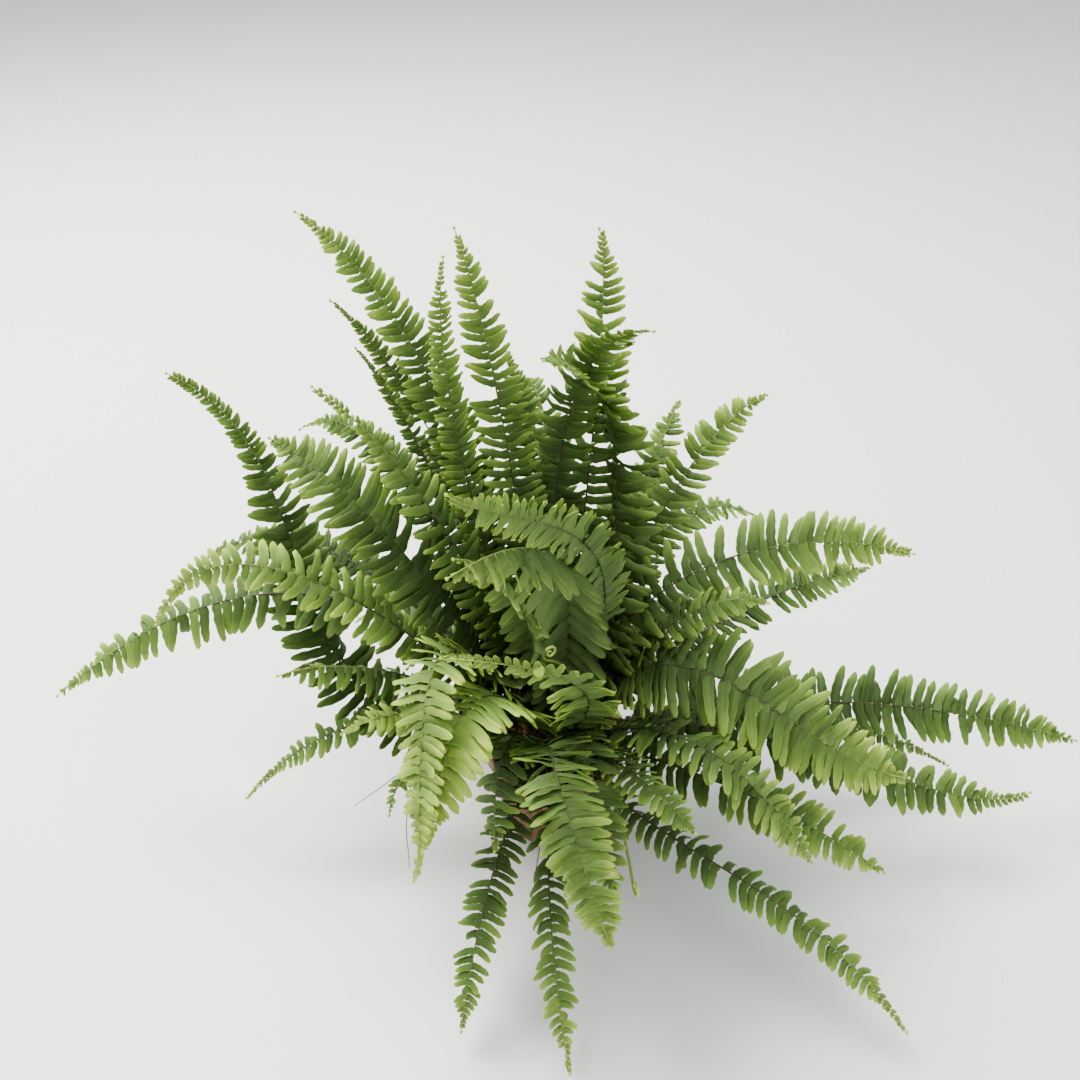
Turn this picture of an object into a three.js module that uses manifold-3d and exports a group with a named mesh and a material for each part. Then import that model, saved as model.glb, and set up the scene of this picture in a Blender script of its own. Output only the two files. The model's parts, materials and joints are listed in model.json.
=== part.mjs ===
// Potted Boston fern in a round plastic nursery pot.
// Millimetres, +Z up, +X to the right and +Y to the rear; the origin is the middle of the pot's base.
// The fern stays one natural clump: a crown in the soil, the fronds that rise from it, their young
// coiled croziers and the thin runners. Each frond is one closed blade on its own stipe.
import * as THREE from "three";
import { mergeVertices } from "three/addons/utils/BufferGeometryUtils.js";
import Module from "manifold-3d";

const wasm = await Module();
wasm.setup();

// ---------------------------------------------------------------- driving dimensions
const gap = 0.3; // between two pieces that touch

const pot = {
  rimRadius: 60,
  baseRadius: 43,
  height: 92,
  wall: 1.6,
  floor: 2,
  lip: 0.8, // how far the lip stands out from the band under it
  lipDepth: 3,
  bandDepth: 14, // the lip and the straight band under it
  bandStep: 2, // how far the lip stands out from the line of the tapered wall
  chamfer: 0.6,
  footRise: 1.6, // height of the hollow under the base
  footWidth: 7,
  padRadius: 13, // the flat pad in the middle of the base
  drainCount: 6,
  drainRadius: 4,
  drainCircle: 25,
  drainSides: 12,
  sides: 48,
};

const soil = {
  belowRim: 10,
  mound: 6, // from its edge up to the flat round the crown
  flat: 4, // width of the flat round the crown
  edgeSlope: 3, // width of the steep edge by the wall
  edgeDip: 5, // and its height
};

const crown = {
  radius: 33,
  height: 24,
  skirt: 3, // the upright part under the dome
  sides: 24,
  rings: 7,
};

const frond = {
  stipeRadius: 1.3,
  midThickness: 1.1,
  tipThickness: 0.5,
  tipHalfWidth: 0.8,
  droop: 0.22, // how far the edges hang below the midrib, as a share of the half width
  bareShare: 0.12, // share of the length that is bare stipe
  baseWidth: 0.45, // width at the first leaflets, as a share of the full width
  fillShare: 0.25, // share of the blade over which it fills out to its full width
  bluntness: 2.4, // the higher, the later the blade narrows to its tip
  stations: 22,
  notch: 0.6, // width at the notches between leaflets, as a share of the full width
  leastAdvance: 0.3, // how far a blade's edge moves on where the midrib bends, to the midrib's own 1
};

const runner = {
  radius: 0.8,
  sides: 6,
  steps: 16,
};

const crozier = {
  radius: 1.4,
  coilRadius: 6.5, // of the outermost turn
  coilPitch: 3.6, // from one turn to the next
  turns: 1.2,
  stalkShare: 0.6, // share of the curve that is stalk, before the coil
  sides: 6,
  steps: 40,
};

// The free air kept between two blades, and the spacing at which it is measured.
const air = {
  cell: 5,
  along: 2.5,
  across: 2,
  stalkSteps: 80,
  abovePot: 2,
  aboveTable: 2,
};

// ---------------------------------------------------------------- finishes
const finish = (color, roughness) => new THREE.MeshStandardMaterial({ color, roughness, metalness: 0 });

const finishes = {
  pot: finish(0x8a7460, 0.6),
  soil: finish(0x2c211a, 0.95),
  crown: finish(0x4a3a24, 0.9),
  mature: finish(0x4e6a2c, 0.5),
  middle: finish(0x6f9140, 0.5),
  young: finish(0x9dba58, 0.5),
  runner: finish(0x8a6a4a, 0.7),
};

// ---------------------------------------------------------------- fronds
// Where a stipe leaves the crown: the angle down from the crown's top, in degrees.
const INNER = 24;
const MIDDLE = 43;
const LOWER = 59;
const OUTER = 76;

const { mature, middle, young } = finishes;

// Heights near the table, as heights above the rim: for the tips that hang nearly to the table.
const HALF_LOW = 32 - pot.height;
const LOW = 22 - pot.height;
const LOWEST = 12 - pot.height;

// Each frond: name, where it leaves the crown, the places that its midrib passes through up to its
// tip, full width, twist in degrees and finish. A place is [bearing in degrees, past the pot's rim,
// above the rim]; bearing 0 is +X and 90 is +Y. The midrib spends an equal share of its growth between
// two places. The fullest fronds come first, because the later ones give way to them.
const fronds = [
  ["frond_left_arched", OUTER, [[175, 110, 56], [161, 170, 170], [160, 255, 275]], 60, -50, mature],
  ["frond_left_longest", LOWER, [[172, 142, 125], [177, 355, 20]], 62, -45, middle],
  ["frond_left_pale", LOWER, [[194, 128, 202], [184, 237, 134]], 44, -50, young],
  ["frond_left_broad", MIDDLE, [[185, 55, 200], [172, 145, 265]], 68, -50, mature],
  ["frond_left_curled", INNER, [[176, 25, 210], [167, 115, 300]], 46, -48, middle],
  ["frond_rear_left_tall", MIDDLE, [[140, 50, 270], [147, 160, 395]], 42, -40, middle],
  ["frond_top_left", INNER, [[150, 20, 245], [147, 30, 390]], 30, -40, middle],
  ["frond_top_long", INNER, [[124, 10, 260], [125, 65, 390]], 44, -30, middle],
  ["frond_top_right", INNER, [[68, 20, 285], [74, 45, 390]], 54, 0, middle],
  ["frond_nodding_right", INNER, [[83, -5, 255], [0, 0, 360]], 46, 0, mature],
  ["frond_nodding_left", INNER, [[24, -15, 165], [51, 2, 265], [229, -45, 345]], 66, 0, mature],
  ["frond_front_nodding", INNER, [[315, -15, 190], [262, 30, 275], [246, 95, 330]], 40, 0, middle],
  ["frond_front_shaded", INNER, [[271, 0, 215], [247, 105, 280]], 72, 0, mature],
  ["frond_right_rear_tall", MIDDLE, [[30, 40, 200], [32, 130, 260]], 44, 50, middle],
  ["frond_right_bright", MIDDLE, [[0, 15, 145], [10, 120, 170], [8, 220, 155]], 60, 52, middle],
  ["frond_right_broad", LOWER, [[332, 40, 118], [337, 130, 85], [341, 215, 45]], 72, 42, middle],
  ["frond_right_longest", OUTER, [[0, 165, 35], [0, 375, -10]], 58, 48, mature],
  ["frond_right_curly", OUTER, [[350, 105, 25], [351, 235, -12], [353, 325, -20]], 60, 40, mature],
  ["frond_right_slip", OUTER, [[7, 150, -8], [3, 285, HALF_LOW]], 30, 35, mature],
  ["frond_right_front", OUTER, [[330, 100, 20], [334, 215, -25]], 46, 30, middle],
  ["frond_right_front_upper", LOWER, [[315, 80, 90], [323, 170, 10]], 46, 0, middle],
  ["frond_right_front_long", LOWER, [[306, 65, 6], [315, 165, -10], [318, 270, LOW]], 38, 10, middle],
  ["frond_front_bright", MIDDLE, [[225, 50, 155], [239, 115, 120], [243, 150, 55]], 44, 0, young],
  ["frond_front_bright_low", MIDDLE, [[239, 42, 125], [241, 95, 118], [242, 130, 65]], 62, 0, young],
  ["frond_front_centre", LOWER, [[270, 90, 110], [279, 160, 25]], 52, 0, middle],
  ["frond_front_inner", OUTER, [[281, 35, 85], [282, 90, 60], [282, 125, 25]], 44, 0, mature],
  ["frond_front_slant", LOWER, [[293, 60, 80], [300, 125, 70]], 40, 0, mature],
  ["frond_front_long", OUTER, [[268, 90, -10], [272, 185, LOWEST]], 38, 0, middle],
  ["frond_front_left_long", OUTER, [[251, 80, -5], [253, 170, LOW]], 34, 0, mature],
  ["frond_front_left_small", OUTER, [[221, 65, 55], [225, 110, 40]], 26, 0, mature],
  ["frond_left_low_thin", OUTER, [[188, 90, 35], [189, 195, -35]], 32, -20, middle],
  ["frond_left_low_pale", OUTER, [[211, 55, 80], [207, 115, 80]], 36, 0, young],
  ["frond_young_front", MIDDLE, [[278, 45, 150], [239, 85, 195]], 40, 0, young],
  ["frond_inner_short", INNER, [[215, -40, 120], [230, -30, 165]], 36, 0, mature],
  ["frond_rear_left_low", LOWER, [[150, 160, 105], [155, 295, 60]], 42, -30, mature],
  ["frond_rear_left_short", LOWER, [[135, 125, 175], [142, 215, 190]], 42, -30, mature],
  ["frond_rear_left_thin", MIDDLE, [[129, 90, 205], [139, 170, 315]], 28, -30, mature],
  ["frond_rear_left_slip", OUTER, [[126, 115, 165], [132, 185, 260]], 24, -30, mature],
  ["frond_rear_peeping", MIDDLE, [[92, 90, 195], [101, 145, 215]], 40, 0, mature],
  ["frond_rear_right_dim", LOWER, [[53, 90, 115], [43, 190, 100]], 42, 20, mature],
  ["frond_right_rear_low", OUTER, [[26, 110, 65], [26, 255, 65]], 44, 30, mature],
  ["frond_rear_low_right", OUTER, [[52, 100, 30], [50, 200, -45]], 44, 0, mature],
  ["frond_rear_low_middle", OUTER, [[80, 80, 40], [78, 140, -50]], 44, 0, mature],
  ["frond_rear_low_left", OUTER, [[108, 80, 45], [112, 150, -45]], 44, 0, mature],
  ["frond_rear_low_far_left", OUTER, [[134, 100, 30], [136, 210, -40]], 44, 0, mature],
  ["frond_rear_mid_right", MIDDLE, [[68, 85, 130], [66, 160, 90]], 46, 0, mature],
  ["frond_rear_centre", MIDDLE, [[100, 50, 190], [104, 105, 270]], 48, 0, mature],
  ["frond_rear_right_mid", MIDDLE, [[50, 50, 185], [54, 110, 235]], 46, 0, mature],
  ["frond_right_inner", MIDDLE, [[344, 30, 140], [350, 95, 160]], 46, 20, mature],
  ["frond_left_inner", MIDDLE, [[206, 70, 120], [203, 150, 140]], 46, -20, mature],
  ["frond_centre_left", INNER, [[245, 0, 180], [230, 45, 240]], 48, 0, mature],
  ["frond_front_left_short", LOWER, [[247, 35, 75], [250, 72, 5]], 48, 0, mature],
];

// Thin runners: name, where each leaves the crown, and the places that it passes through.
const runners = [
  ["runner_left", OUTER, [[195, 20, 10], [192, 60, -14], [189, 110, HALF_LOW]]],
  ["runner_left_hanging", OUTER, [[203, 20, 20], [208, 70, -20], [212, 80, LOWEST]]],
  ["runner_front", OUTER, [[262, 20, 4], [262, 40, -40], [260, 55, LOWEST]]],
];

// Young fronds that are still coiled: name, where each leaves the crown, and the places of its stalk.
const croziers = [
  ["crozier_front", OUTER, [[292, 35, 45], [290, 100, 0]]],
  ["crozier_centre", INNER, [[290, -25, 90], [262, -5, 130]]],
];

// ---------------------------------------------------------------- helpers
const radians = THREE.MathUtils.degToRad;

// A point at a bearing, so far past the pot's rim and above it.
function place([bearing, past, above]) {
  const reach = pot.rimRadius + past;
  return new THREE.Vector3(
    reach * Math.cos(radians(bearing)),
    reach * Math.sin(radians(bearing)),
    pot.height + above,
  );
}

function named(name, geometry, material) {
  const mesh = new THREE.Mesh(geometry, material);
  mesh.name = name;
  return mesh;
}

// A closed profile of [radius, height] points, turned about the Z axis.
function turned(profile, sides) {
  const points = profile.map(([radius, height]) => new THREE.Vector2(radius, height));
  return new THREE.LatheGeometry(points, sides).rotateX(Math.PI / 2);
}

function solid(geometry) {
  const bare = geometry.clone().deleteAttribute("normal").deleteAttribute("uv");
  const merged = mergeVertices(bare, 1e-3);
  return new wasm.Manifold(
    new wasm.Mesh({
      numProp: 3,
      vertProperties: new Float32Array(merged.attributes.position.array),
      triVerts: new Uint32Array(merged.index.array),
    }),
  );
}

function geometryOf(manifold) {
  const mesh = manifold.getMesh();
  const geometry = new THREE.BufferGeometry();
  geometry.setAttribute("position", new THREE.BufferAttribute(mesh.vertProperties, 3));
  geometry.setIndex(new THREE.BufferAttribute(mesh.triVerts, 1));
  geometry.computeVertexNormals();
  return geometry;
}

// ---------------------------------------------------------------- pot
// The tapered wall's outer radius at a height above the table.
function potRadiusAt(z) {
  const underBand = pot.rimRadius - pot.bandStep;
  return THREE.MathUtils.lerp(pot.baseRadius, underBand, z / pot.height);
}

function makePot() {
  const { rimRadius, baseRadius, height, wall, floor, chamfer, footRise, footWidth, padRadius } = pot;
  const bandBottom = height - pot.bandDepth;
  const underBand = potRadiusAt(bandBottom);
  const band = rimRadius - pot.lip;
  const lipBottom = height - pot.lipDepth;
  const profile = [
    [0, 0],
    [padRadius, 0],
    [padRadius + chamfer, footRise],
    [baseRadius - footWidth - chamfer, footRise],
    [baseRadius - footWidth, 0],
    [baseRadius - chamfer, 0],
    [potRadiusAt(chamfer), chamfer],
    [underBand, bandBottom],
    [band, bandBottom + chamfer],
    [band, lipBottom],
    [rimRadius, lipBottom + chamfer],
    [rimRadius, height - chamfer],
    [rimRadius - chamfer, height],
    [band - wall, height],
    [band - wall, bandBottom + wall],
    [underBand - wall, bandBottom],
    [potRadiusAt(footRise + floor) - wall, footRise + floor],
    [0, footRise + floor],
  ];
  const drill = 3 * (footRise + floor);
  let body = solid(turned(profile, pot.sides));
  for (let i = 0; i < pot.drainCount; i += 1) {
    const angle = (i * 2 * Math.PI) / pot.drainCount;
    const hole = new THREE.CylinderGeometry(pot.drainRadius, pot.drainRadius, drill, pot.drainSides);
    hole.rotateX(Math.PI / 2);
    hole.translate(pot.drainCircle * Math.cos(angle), pot.drainCircle * Math.sin(angle), 0);
    body = body.subtract(solid(hole));
  }
  return named("pot", geometryOf(body), finishes.pot);
}

// ---------------------------------------------------------------- soil
const soilEdge = pot.height - soil.belowRim;
const soilTop = soilEdge + soil.mound;

function makeSoil() {
  const bottom = pot.footRise + pot.floor + gap;
  const inside = (z) => potRadiusAt(z) - pot.wall - gap;
  const shoulder = soilEdge - soil.edgeDip;
  const profile = [
    [0, bottom],
    [inside(bottom), bottom],
    [inside(shoulder), shoulder],
    [inside(shoulder) - soil.edgeSlope, soilEdge],
    [crown.radius + soil.flat, soilTop],
    [0, soilTop],
  ];
  return named("soil", turned(profile, pot.sides), finishes.soil);
}

// ---------------------------------------------------------------- crown
const crownFoot = soilTop + gap;

// A point that stands off the crown's dome.
function onCrown(bearing, seat, standOff) {
  const a = radians(bearing);
  const s = radians(seat);
  const outward = new THREE.Vector3(
    (Math.sin(s) * Math.cos(a)) / crown.radius,
    (Math.sin(s) * Math.sin(a)) / crown.radius,
    Math.cos(s) / crown.height,
  ).normalize();
  const point = new THREE.Vector3(
    crown.radius * Math.sin(s) * Math.cos(a),
    crown.radius * Math.sin(s) * Math.sin(a),
    crownFoot + crown.skirt + crown.height * Math.cos(s),
  );
  return point.addScaledVector(outward, standOff);
}

function makeCrown() {
  const profile = [[0, crownFoot], [crown.radius, crownFoot]];
  for (let i = 0; i < crown.rings; i += 1) {
    const s = (Math.PI / 2) * (1 - i / crown.rings);
    profile.push([crown.radius * Math.sin(s), crownFoot + crown.skirt + crown.height * Math.cos(s)]);
  }
  profile.push([0, crownFoot + crown.skirt + crown.height]);
  return named("crown", turned(profile, crown.sides), finishes.crown);
}

// ---------------------------------------------------------------- air that is already taken
const taken = new Map();

const cellOf = (value) => Math.floor(value / air.cell);
const cellKey = (x, y, z) => `${x} ${y} ${z}`;

function take(point, owner) {
  taken.set(cellKey(cellOf(point.x), cellOf(point.y), cellOf(point.z)), owner);
}

function takeAlong(curve, owner) {
  for (const point of curve.getSpacedPoints(air.stalkSteps)) take(point, owner);
}

function isFree(point, owner) {
  const reach = Math.hypot(point.x, point.y);
  const overPot = point.z < pot.height + air.abovePot && reach < pot.rimRadius + air.abovePot;
  if (overPot || point.z < air.aboveTable) return false;
  const [x, y, z] = [cellOf(point.x), cellOf(point.y), cellOf(point.z)];
  for (let i = -1; i <= 1; i += 1) {
    for (let j = -1; j <= 1; j += 1) {
      for (let k = -1; k <= 1; k += 1) {
        const other = taken.get(cellKey(x + i, y + j, z + k));
        if (other !== undefined && other !== owner) return false;
      }
    }
  }
  return true;
}

// ---------------------------------------------------------------- frond
// A stalk's curve, with its foot's rim the gap off the crown, whichever way the stalk leaves it.
function seated(bearing, seat, radius, curveFrom) {
  const root = onCrown(bearing, seat, 0);
  const outward = onCrown(bearing, seat, 1).sub(root);
  const slant = outward.angleTo(curveFrom(root).getTangent(0));
  return curveFrom(root.addScaledVector(outward, gap + radius * Math.sin(slant)));
}

// The midrib: one smooth arch from the crown, through the frond's places, to its tip.
function midrib(seat, places, radius) {
  return seated(places[0][0], seat, radius, (root) => arch(root, places.map(place)));
}

// A quadratic that is at its one place halfway, or a cubic that is at its two places at the thirds.
function arch(root, through) {
  const tip = through.at(-1);
  if (through.length === 2) {
    const bend = through[0].clone().multiplyScalar(2).addScaledVector(root, -0.5).addScaledVector(tip, -0.5);
    return new THREE.QuadraticBezierCurve3(root.clone(), bend, tip);
  }
  const [first, second] = through;
  const rising = first.clone().multiplyScalar(18).addScaledVector(second, -9);
  const falling = second.clone().multiplyScalar(18).addScaledVector(first, -9);
  rising.addScaledVector(root, -5).addScaledVector(tip, 2).divideScalar(6);
  falling.addScaledVector(root, 2).addScaledVector(tip, -5).divideScalar(6);
  return new THREE.CubicBezierCurve3(root.clone(), rising, falling, tip);
}

// Half the blade's width along it, from 0 at the first leaflet to 1 at the tip.
function outline(share) {
  const fill = THREE.MathUtils.lerp(frond.baseWidth, 1, Math.min(1, share / frond.fillShare));
  return fill * Math.sqrt(Math.max(0, 1 - share ** frond.bluntness));
}

// The midrib's point, direction, side and upper face at a share of its length.
function frameAt(curve, share, bearing, twist) {
  const point = curve.getPointAt(share);
  const along = curve.getTangentAt(share);
  const level = new THREE.Vector3(Math.sin(radians(bearing)), -Math.cos(radians(bearing)), 0);
  const side = level.addScaledVector(along, -level.dot(along)).normalize();
  side.applyAxisAngle(along, radians(twist) * Math.sin((share * Math.PI) / 2));
  const face = new THREE.Vector3().crossVectors(side, along).normalize();
  return { point, along, side, face };
}

// The way from the midrib to a point so far across the blade.
function spreadOf({ side, face }, across) {
  return side.clone().multiplyScalar(across).addScaledVector(face, -frond.droop * Math.abs(across));
}

const bladePoint = (frame, across) => spreadOf(frame, across).add(frame.point);

// How far the blade can spread on one side before its edge folds over itself where the midrib bends.
function unfoldedSpread(frame, next, sign) {
  const turn = spreadOf(next, sign).sub(spreadOf(frame, sign)).dot(frame.along);
  const shrink = -turn / next.point.distanceTo(frame.point);
  return shrink > 0 ? (1 - frond.leastAdvance) / shrink : Infinity;
}

// How far the blade can spread on one side before it meets air that is taken.
function freeSpread(frame, sign, most, owner) {
  let spread = 0;
  while (spread + air.across <= most && isFree(bladePoint(frame, sign * (spread + air.across)), owner)) {
    spread += air.across;
  }
  return spread + air.across > most ? most : spread;
}

// Half the full width at a share of the midrib's length. It is 0 along the bare stipe.
function fullSpread(width, share) {
  const blade = (share - frond.bareShare) / (1 - frond.bareShare);
  return blade > 0 ? (width / 2) * outline(blade) : 0;
}

const SIDES = [-1, 1];

function makeFrond([name, seat, places, width, twist, material]) {
  const { stations } = frond;
  const curve = midrib(seat, places, frond.stipeRadius);
  const steps = Math.ceil(curve.getLength() / air.along);
  const frames = [];
  for (let i = 0; i <= steps; i += 1) frames.push(frameAt(curve, i / steps, places[0][0], twist));
  const room = frames.map((frame, i) =>
    SIDES.map((sign) => {
      const unfolded = i < steps ? unfoldedSpread(frame, frames[i + 1], sign) : Infinity;
      return freeSpread(frame, sign, Math.min(fullSpread(width, i / steps), unfolded), name);
    }),
  );
  const rings = [];
  for (let k = 0; k <= stations; k += 1) {
    const share = k / stations;
    const first = Math.max(0, Math.floor(((k - 1) / stations) * steps));
    const near = room.slice(first, Math.ceil(((k + 1) / stations) * steps) + 1);
    const comb = k % 2 ? 1 : frond.notch;
    const least = share < 1 ? frond.stipeRadius : frond.tipHalfWidth;
    const half = SIDES.map((_, side) => {
      const free = Math.min(...near.map((spread) => spread[side]));
      return Math.max(least, Math.min(free, fullSpread(width, share) * comb));
    });
    const blade = THREE.MathUtils.lerp(frond.midThickness, frond.tipThickness, share);
    const thickness = share > frond.bareShare ? blade : 2 * frond.stipeRadius;
    rings.push({ frame: frameAt(curve, share, places[0][0], twist), half, thickness });
  }
  frames.forEach((frame, i) => {
    const k = Math.min(stations - 1, Math.floor((i / steps) * stations));
    const part = (i / steps) * stations - k;
    SIDES.forEach((sign, side) => {
      const reach = THREE.MathUtils.lerp(rings[k].half[side], rings[k + 1].half[side], part);
      for (let across = 0; across < reach; across += air.across) {
        take(bladePoint(frame, sign * across), name);
      }
      take(bladePoint(frame, sign * reach), name);
    });
  });
  return named(name, loft(rings), material);
}

// A closed skin over the rings. Each ring is left edge, upper face, right edge and lower face.
function loft(rings) {
  const positions = [];
  for (const { frame, half, thickness } of rings) {
    const upper = frame.point.clone().addScaledVector(frame.face, thickness / 2);
    const lower = frame.point.clone().addScaledVector(frame.face, -thickness / 2);
    const left = bladePoint(frame, -half[0]);
    const right = bladePoint(frame, half[1]);
    for (const corner of [left, upper, right, lower]) positions.push(corner.x, corner.y, corner.z);
  }
  const index = [0, 2, 1, 0, 3, 2];
  const corners = 4;
  for (let k = 0; k + 1 < rings.length; k += 1) {
    for (let c = 0; c < corners; c += 1) {
      const a = k * corners + c;
      const b = k * corners + ((c + 1) % corners);
      // Each lower face is cut along the same diagonal as the upper face that it lies under.
      if (c < 2) index.push(a, b, b + corners, a, b + corners, a + corners);
      else index.push(a, b, a + corners, b, b + corners, a + corners);
    }
  }
  const last = (rings.length - 1) * corners;
  index.push(last, last + 1, last + 2, last, last + 2, last + 3);
  const geometry = new THREE.BufferGeometry();
  geometry.setAttribute("position", new THREE.Float32BufferAttribute(positions, 3));
  geometry.setIndex(index);
  geometry.computeVertexNormals();
  return geometry;
}

// ---------------------------------------------------------------- runners and croziers
function tube(curve, radius, sides, steps) {
  const section = new THREE.Shape();
  for (let i = 0; i < sides; i += 1) {
    const angle = (i * 2 * Math.PI) / sides;
    const corner = [radius * Math.cos(angle), radius * Math.sin(angle)];
    if (i === 0) section.moveTo(...corner);
    else section.lineTo(...corner);
  }
  section.closePath();
  return new THREE.ExtrudeGeometry(section, { steps, extrudePath: curve });
}

function makeRunner([name, seat, places]) {
  const through = places.map(place);
  const curveFrom = (root) => new THREE.CatmullRomCurve3([root.clone(), ...through]);
  const curve = seated(places[0][0], seat, runner.radius, curveFrom);
  takeAlong(curve, name);
  return named(name, tube(curve, runner.radius, runner.sides, runner.steps), finishes.runner);
}

// A stalk that ends in a coil. The coil leaves the stalk's end smoothly and winds inwards above it.
class Fiddlehead extends THREE.Curve {
  constructor(stalk) {
    super();
    this.stalk = stalk;
    this.end = stalk.getPoint(1);
    this.along = stalk.getTangent(1);
    this.above = new THREE.Vector3(0, 0, 1).addScaledVector(this.along, -this.along.z).normalize();
    this.centre = this.end.clone().addScaledVector(this.above, crozier.coilRadius);
  }

  getPoint(t, target = new THREE.Vector3()) {
    if (t <= crozier.stalkShare) return this.stalk.getPoint(t / crozier.stalkShare, target);
    const turn = ((t - crozier.stalkShare) / (1 - crozier.stalkShare)) * crozier.turns;
    const radius = crozier.coilRadius - crozier.coilPitch * turn;
    const angle = turn * 2 * Math.PI;
    return target
      .copy(this.centre)
      .addScaledVector(this.above, -radius * Math.cos(angle))
      .addScaledVector(this.along, radius * Math.sin(angle));
  }
}

function makeCrozier([name, seat, places]) {
  const curve = new Fiddlehead(midrib(seat, places, crozier.radius));
  takeAlong(curve, name);
  return named(name, tube(curve, crozier.radius, crozier.sides, crozier.steps), finishes.young);
}

// ---------------------------------------------------------------- the whole plant
const group = new THREE.Group();
group.add(makePot(), makeSoil(), makeCrown());
group.add(...runners.map(makeRunner));
group.add(...croziers.map(makeCrozier));
group.add(...fronds.map(makeFrond));

export default group;
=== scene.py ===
"""A Boston fern in a nursery pot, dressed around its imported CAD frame.

Metres, +Z up, +X to the right and +Y to the rear; the origin is the middle of the pot's base.
"""

from __future__ import annotations

import json
import logging
import math
from dataclasses import dataclass
from enum import Enum
from typing import Any

import bpy
import numpy as np
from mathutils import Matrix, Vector

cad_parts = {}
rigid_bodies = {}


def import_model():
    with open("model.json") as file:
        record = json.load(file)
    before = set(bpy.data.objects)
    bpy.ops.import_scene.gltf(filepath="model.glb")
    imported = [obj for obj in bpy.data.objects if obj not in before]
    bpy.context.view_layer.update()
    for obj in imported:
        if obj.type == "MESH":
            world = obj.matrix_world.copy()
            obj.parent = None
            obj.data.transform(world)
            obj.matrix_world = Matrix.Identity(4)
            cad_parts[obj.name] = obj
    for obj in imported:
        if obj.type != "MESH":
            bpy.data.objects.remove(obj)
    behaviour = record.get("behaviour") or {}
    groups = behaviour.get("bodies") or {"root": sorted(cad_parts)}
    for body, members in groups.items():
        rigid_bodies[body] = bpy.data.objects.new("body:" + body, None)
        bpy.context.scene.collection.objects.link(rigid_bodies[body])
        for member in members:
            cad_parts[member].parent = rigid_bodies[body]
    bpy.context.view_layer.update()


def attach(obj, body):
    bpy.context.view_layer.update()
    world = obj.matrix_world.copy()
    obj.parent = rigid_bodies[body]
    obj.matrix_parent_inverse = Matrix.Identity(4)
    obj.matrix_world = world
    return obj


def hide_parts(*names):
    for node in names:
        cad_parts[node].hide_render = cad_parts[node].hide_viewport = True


LOG = logging.getLogger("potted_fern")
MM = 0.001
UP = np.array((0.0, 0.0, 1.0))

Array = np.ndarray
Colour = tuple[float, float, float, float]
Place = tuple[float, float, float]  # a bearing in degrees, and millimetres past and above the pot's rim


# ---------------------------------------------------------------- small helpers
def colour(red: int, green: int, blue: int) -> Colour:
    """A colour from its display values.

    Args:
        red: Red, 0 to 255.
        green: Green, 0 to 255.
        blue: Blue, 0 to 255.

    Returns:
        The colour as linear values with full cover.
    """
    shares = [value / 255 for value in (red, green, blue)]
    linear = [share / 12.92 if share <= 0.04045 else ((share + 0.055) / 1.055) ** 2.4 for share in shares]
    return (linear[0], linear[1], linear[2], 1.0)


def unit(vectors: Array) -> Array:
    """Vectors brought to length one.

    Args:
        vectors: One vector, or one to a row.

    Returns:
        The same directions at length one.
    """
    return vectors / np.maximum(np.linalg.norm(vectors, axis=-1, keepdims=True), 1e-12)


def turned_about(vectors: Array, axis: Array, angle: Array | float) -> Array:
    """Vectors turned about an axis.

    Args:
        vectors: One vector to a row.
        axis: The axis to turn about, one to a row, at length one.
        angle: The angle, in radians, one to a row.

    Returns:
        The turned vectors.
    """
    angles = np.asarray(angle)[..., None]
    along = (vectors * axis).sum(-1, keepdims=True) * axis
    return vectors * np.cos(angles) + np.cross(axis, vectors) * np.sin(angles) + along * (1 - np.cos(angles))


def polar(bearing: float, reach: float, height: float) -> Array:
    """A point at a bearing.

    Args:
        bearing: Degrees round from +X towards +Y.
        reach: Distance from the pot's axis.
        height: Height above the table.

    Returns:
        The point.
    """
    angle = math.radians(bearing)
    return np.array((reach * math.cos(angle), reach * math.sin(angle), height))


def in_scene(name: str, data: bpy.types.ID) -> bpy.types.Object:
    """A new object in the scene, at the origin.

    Args:
        name: The object's name.
        data: Its mesh, lamp or camera.

    Returns:
        The object.
    """
    item = bpy.data.objects.new(name, data)
    bpy.context.scene.collection.objects.link(item)
    return item


def mesh_of(name: str, points: Array, faces: list[tuple[int, ...]], smooth: bool = True) -> bpy.types.Mesh:
    """A mesh from its points and faces.

    Args:
        name: The mesh's name.
        points: One point to a row.
        faces: The corners of each face, in order round it.
        smooth: Whether it is shaded smooth.

    Returns:
        The mesh.
    """
    mesh = bpy.data.meshes.new(name)
    mesh.from_pydata([tuple(map(float, point)) for point in points], [], faces)
    mesh.polygons.foreach_set("use_smooth", [smooth] * len(mesh.polygons))
    mesh.update()
    return mesh


def line_mesh(name: str, points: Array, edges: int) -> bpy.types.Mesh:
    """A mesh of points whose first ones are joined into a line.

    Args:
        name: The mesh's name.
        points: One point to a row.
        edges: How many edges the line has.

    Returns:
        The mesh.
    """
    mesh = bpy.data.meshes.new(name)
    joins = [(i, i + 1) for i in range(edges)]
    mesh.from_pydata([tuple(map(float, point)) for point in points], joins, [])
    return mesh


def give_values(mesh: bpy.types.Mesh, name: str, values: Array, kind: str = "FLOAT") -> None:
    """Stores a value for each point of a mesh.

    Args:
        mesh: The mesh.
        name: The attribute's name.
        values: One value, or one vector, for each point.
        kind: The attribute's data type.
    """
    attribute = mesh.attributes.new(name, kind, "POINT")
    field = "vector" if kind == "FLOAT_VECTOR" else "value"
    attribute.data.foreach_set(field, np.asarray(values).ravel())


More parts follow.
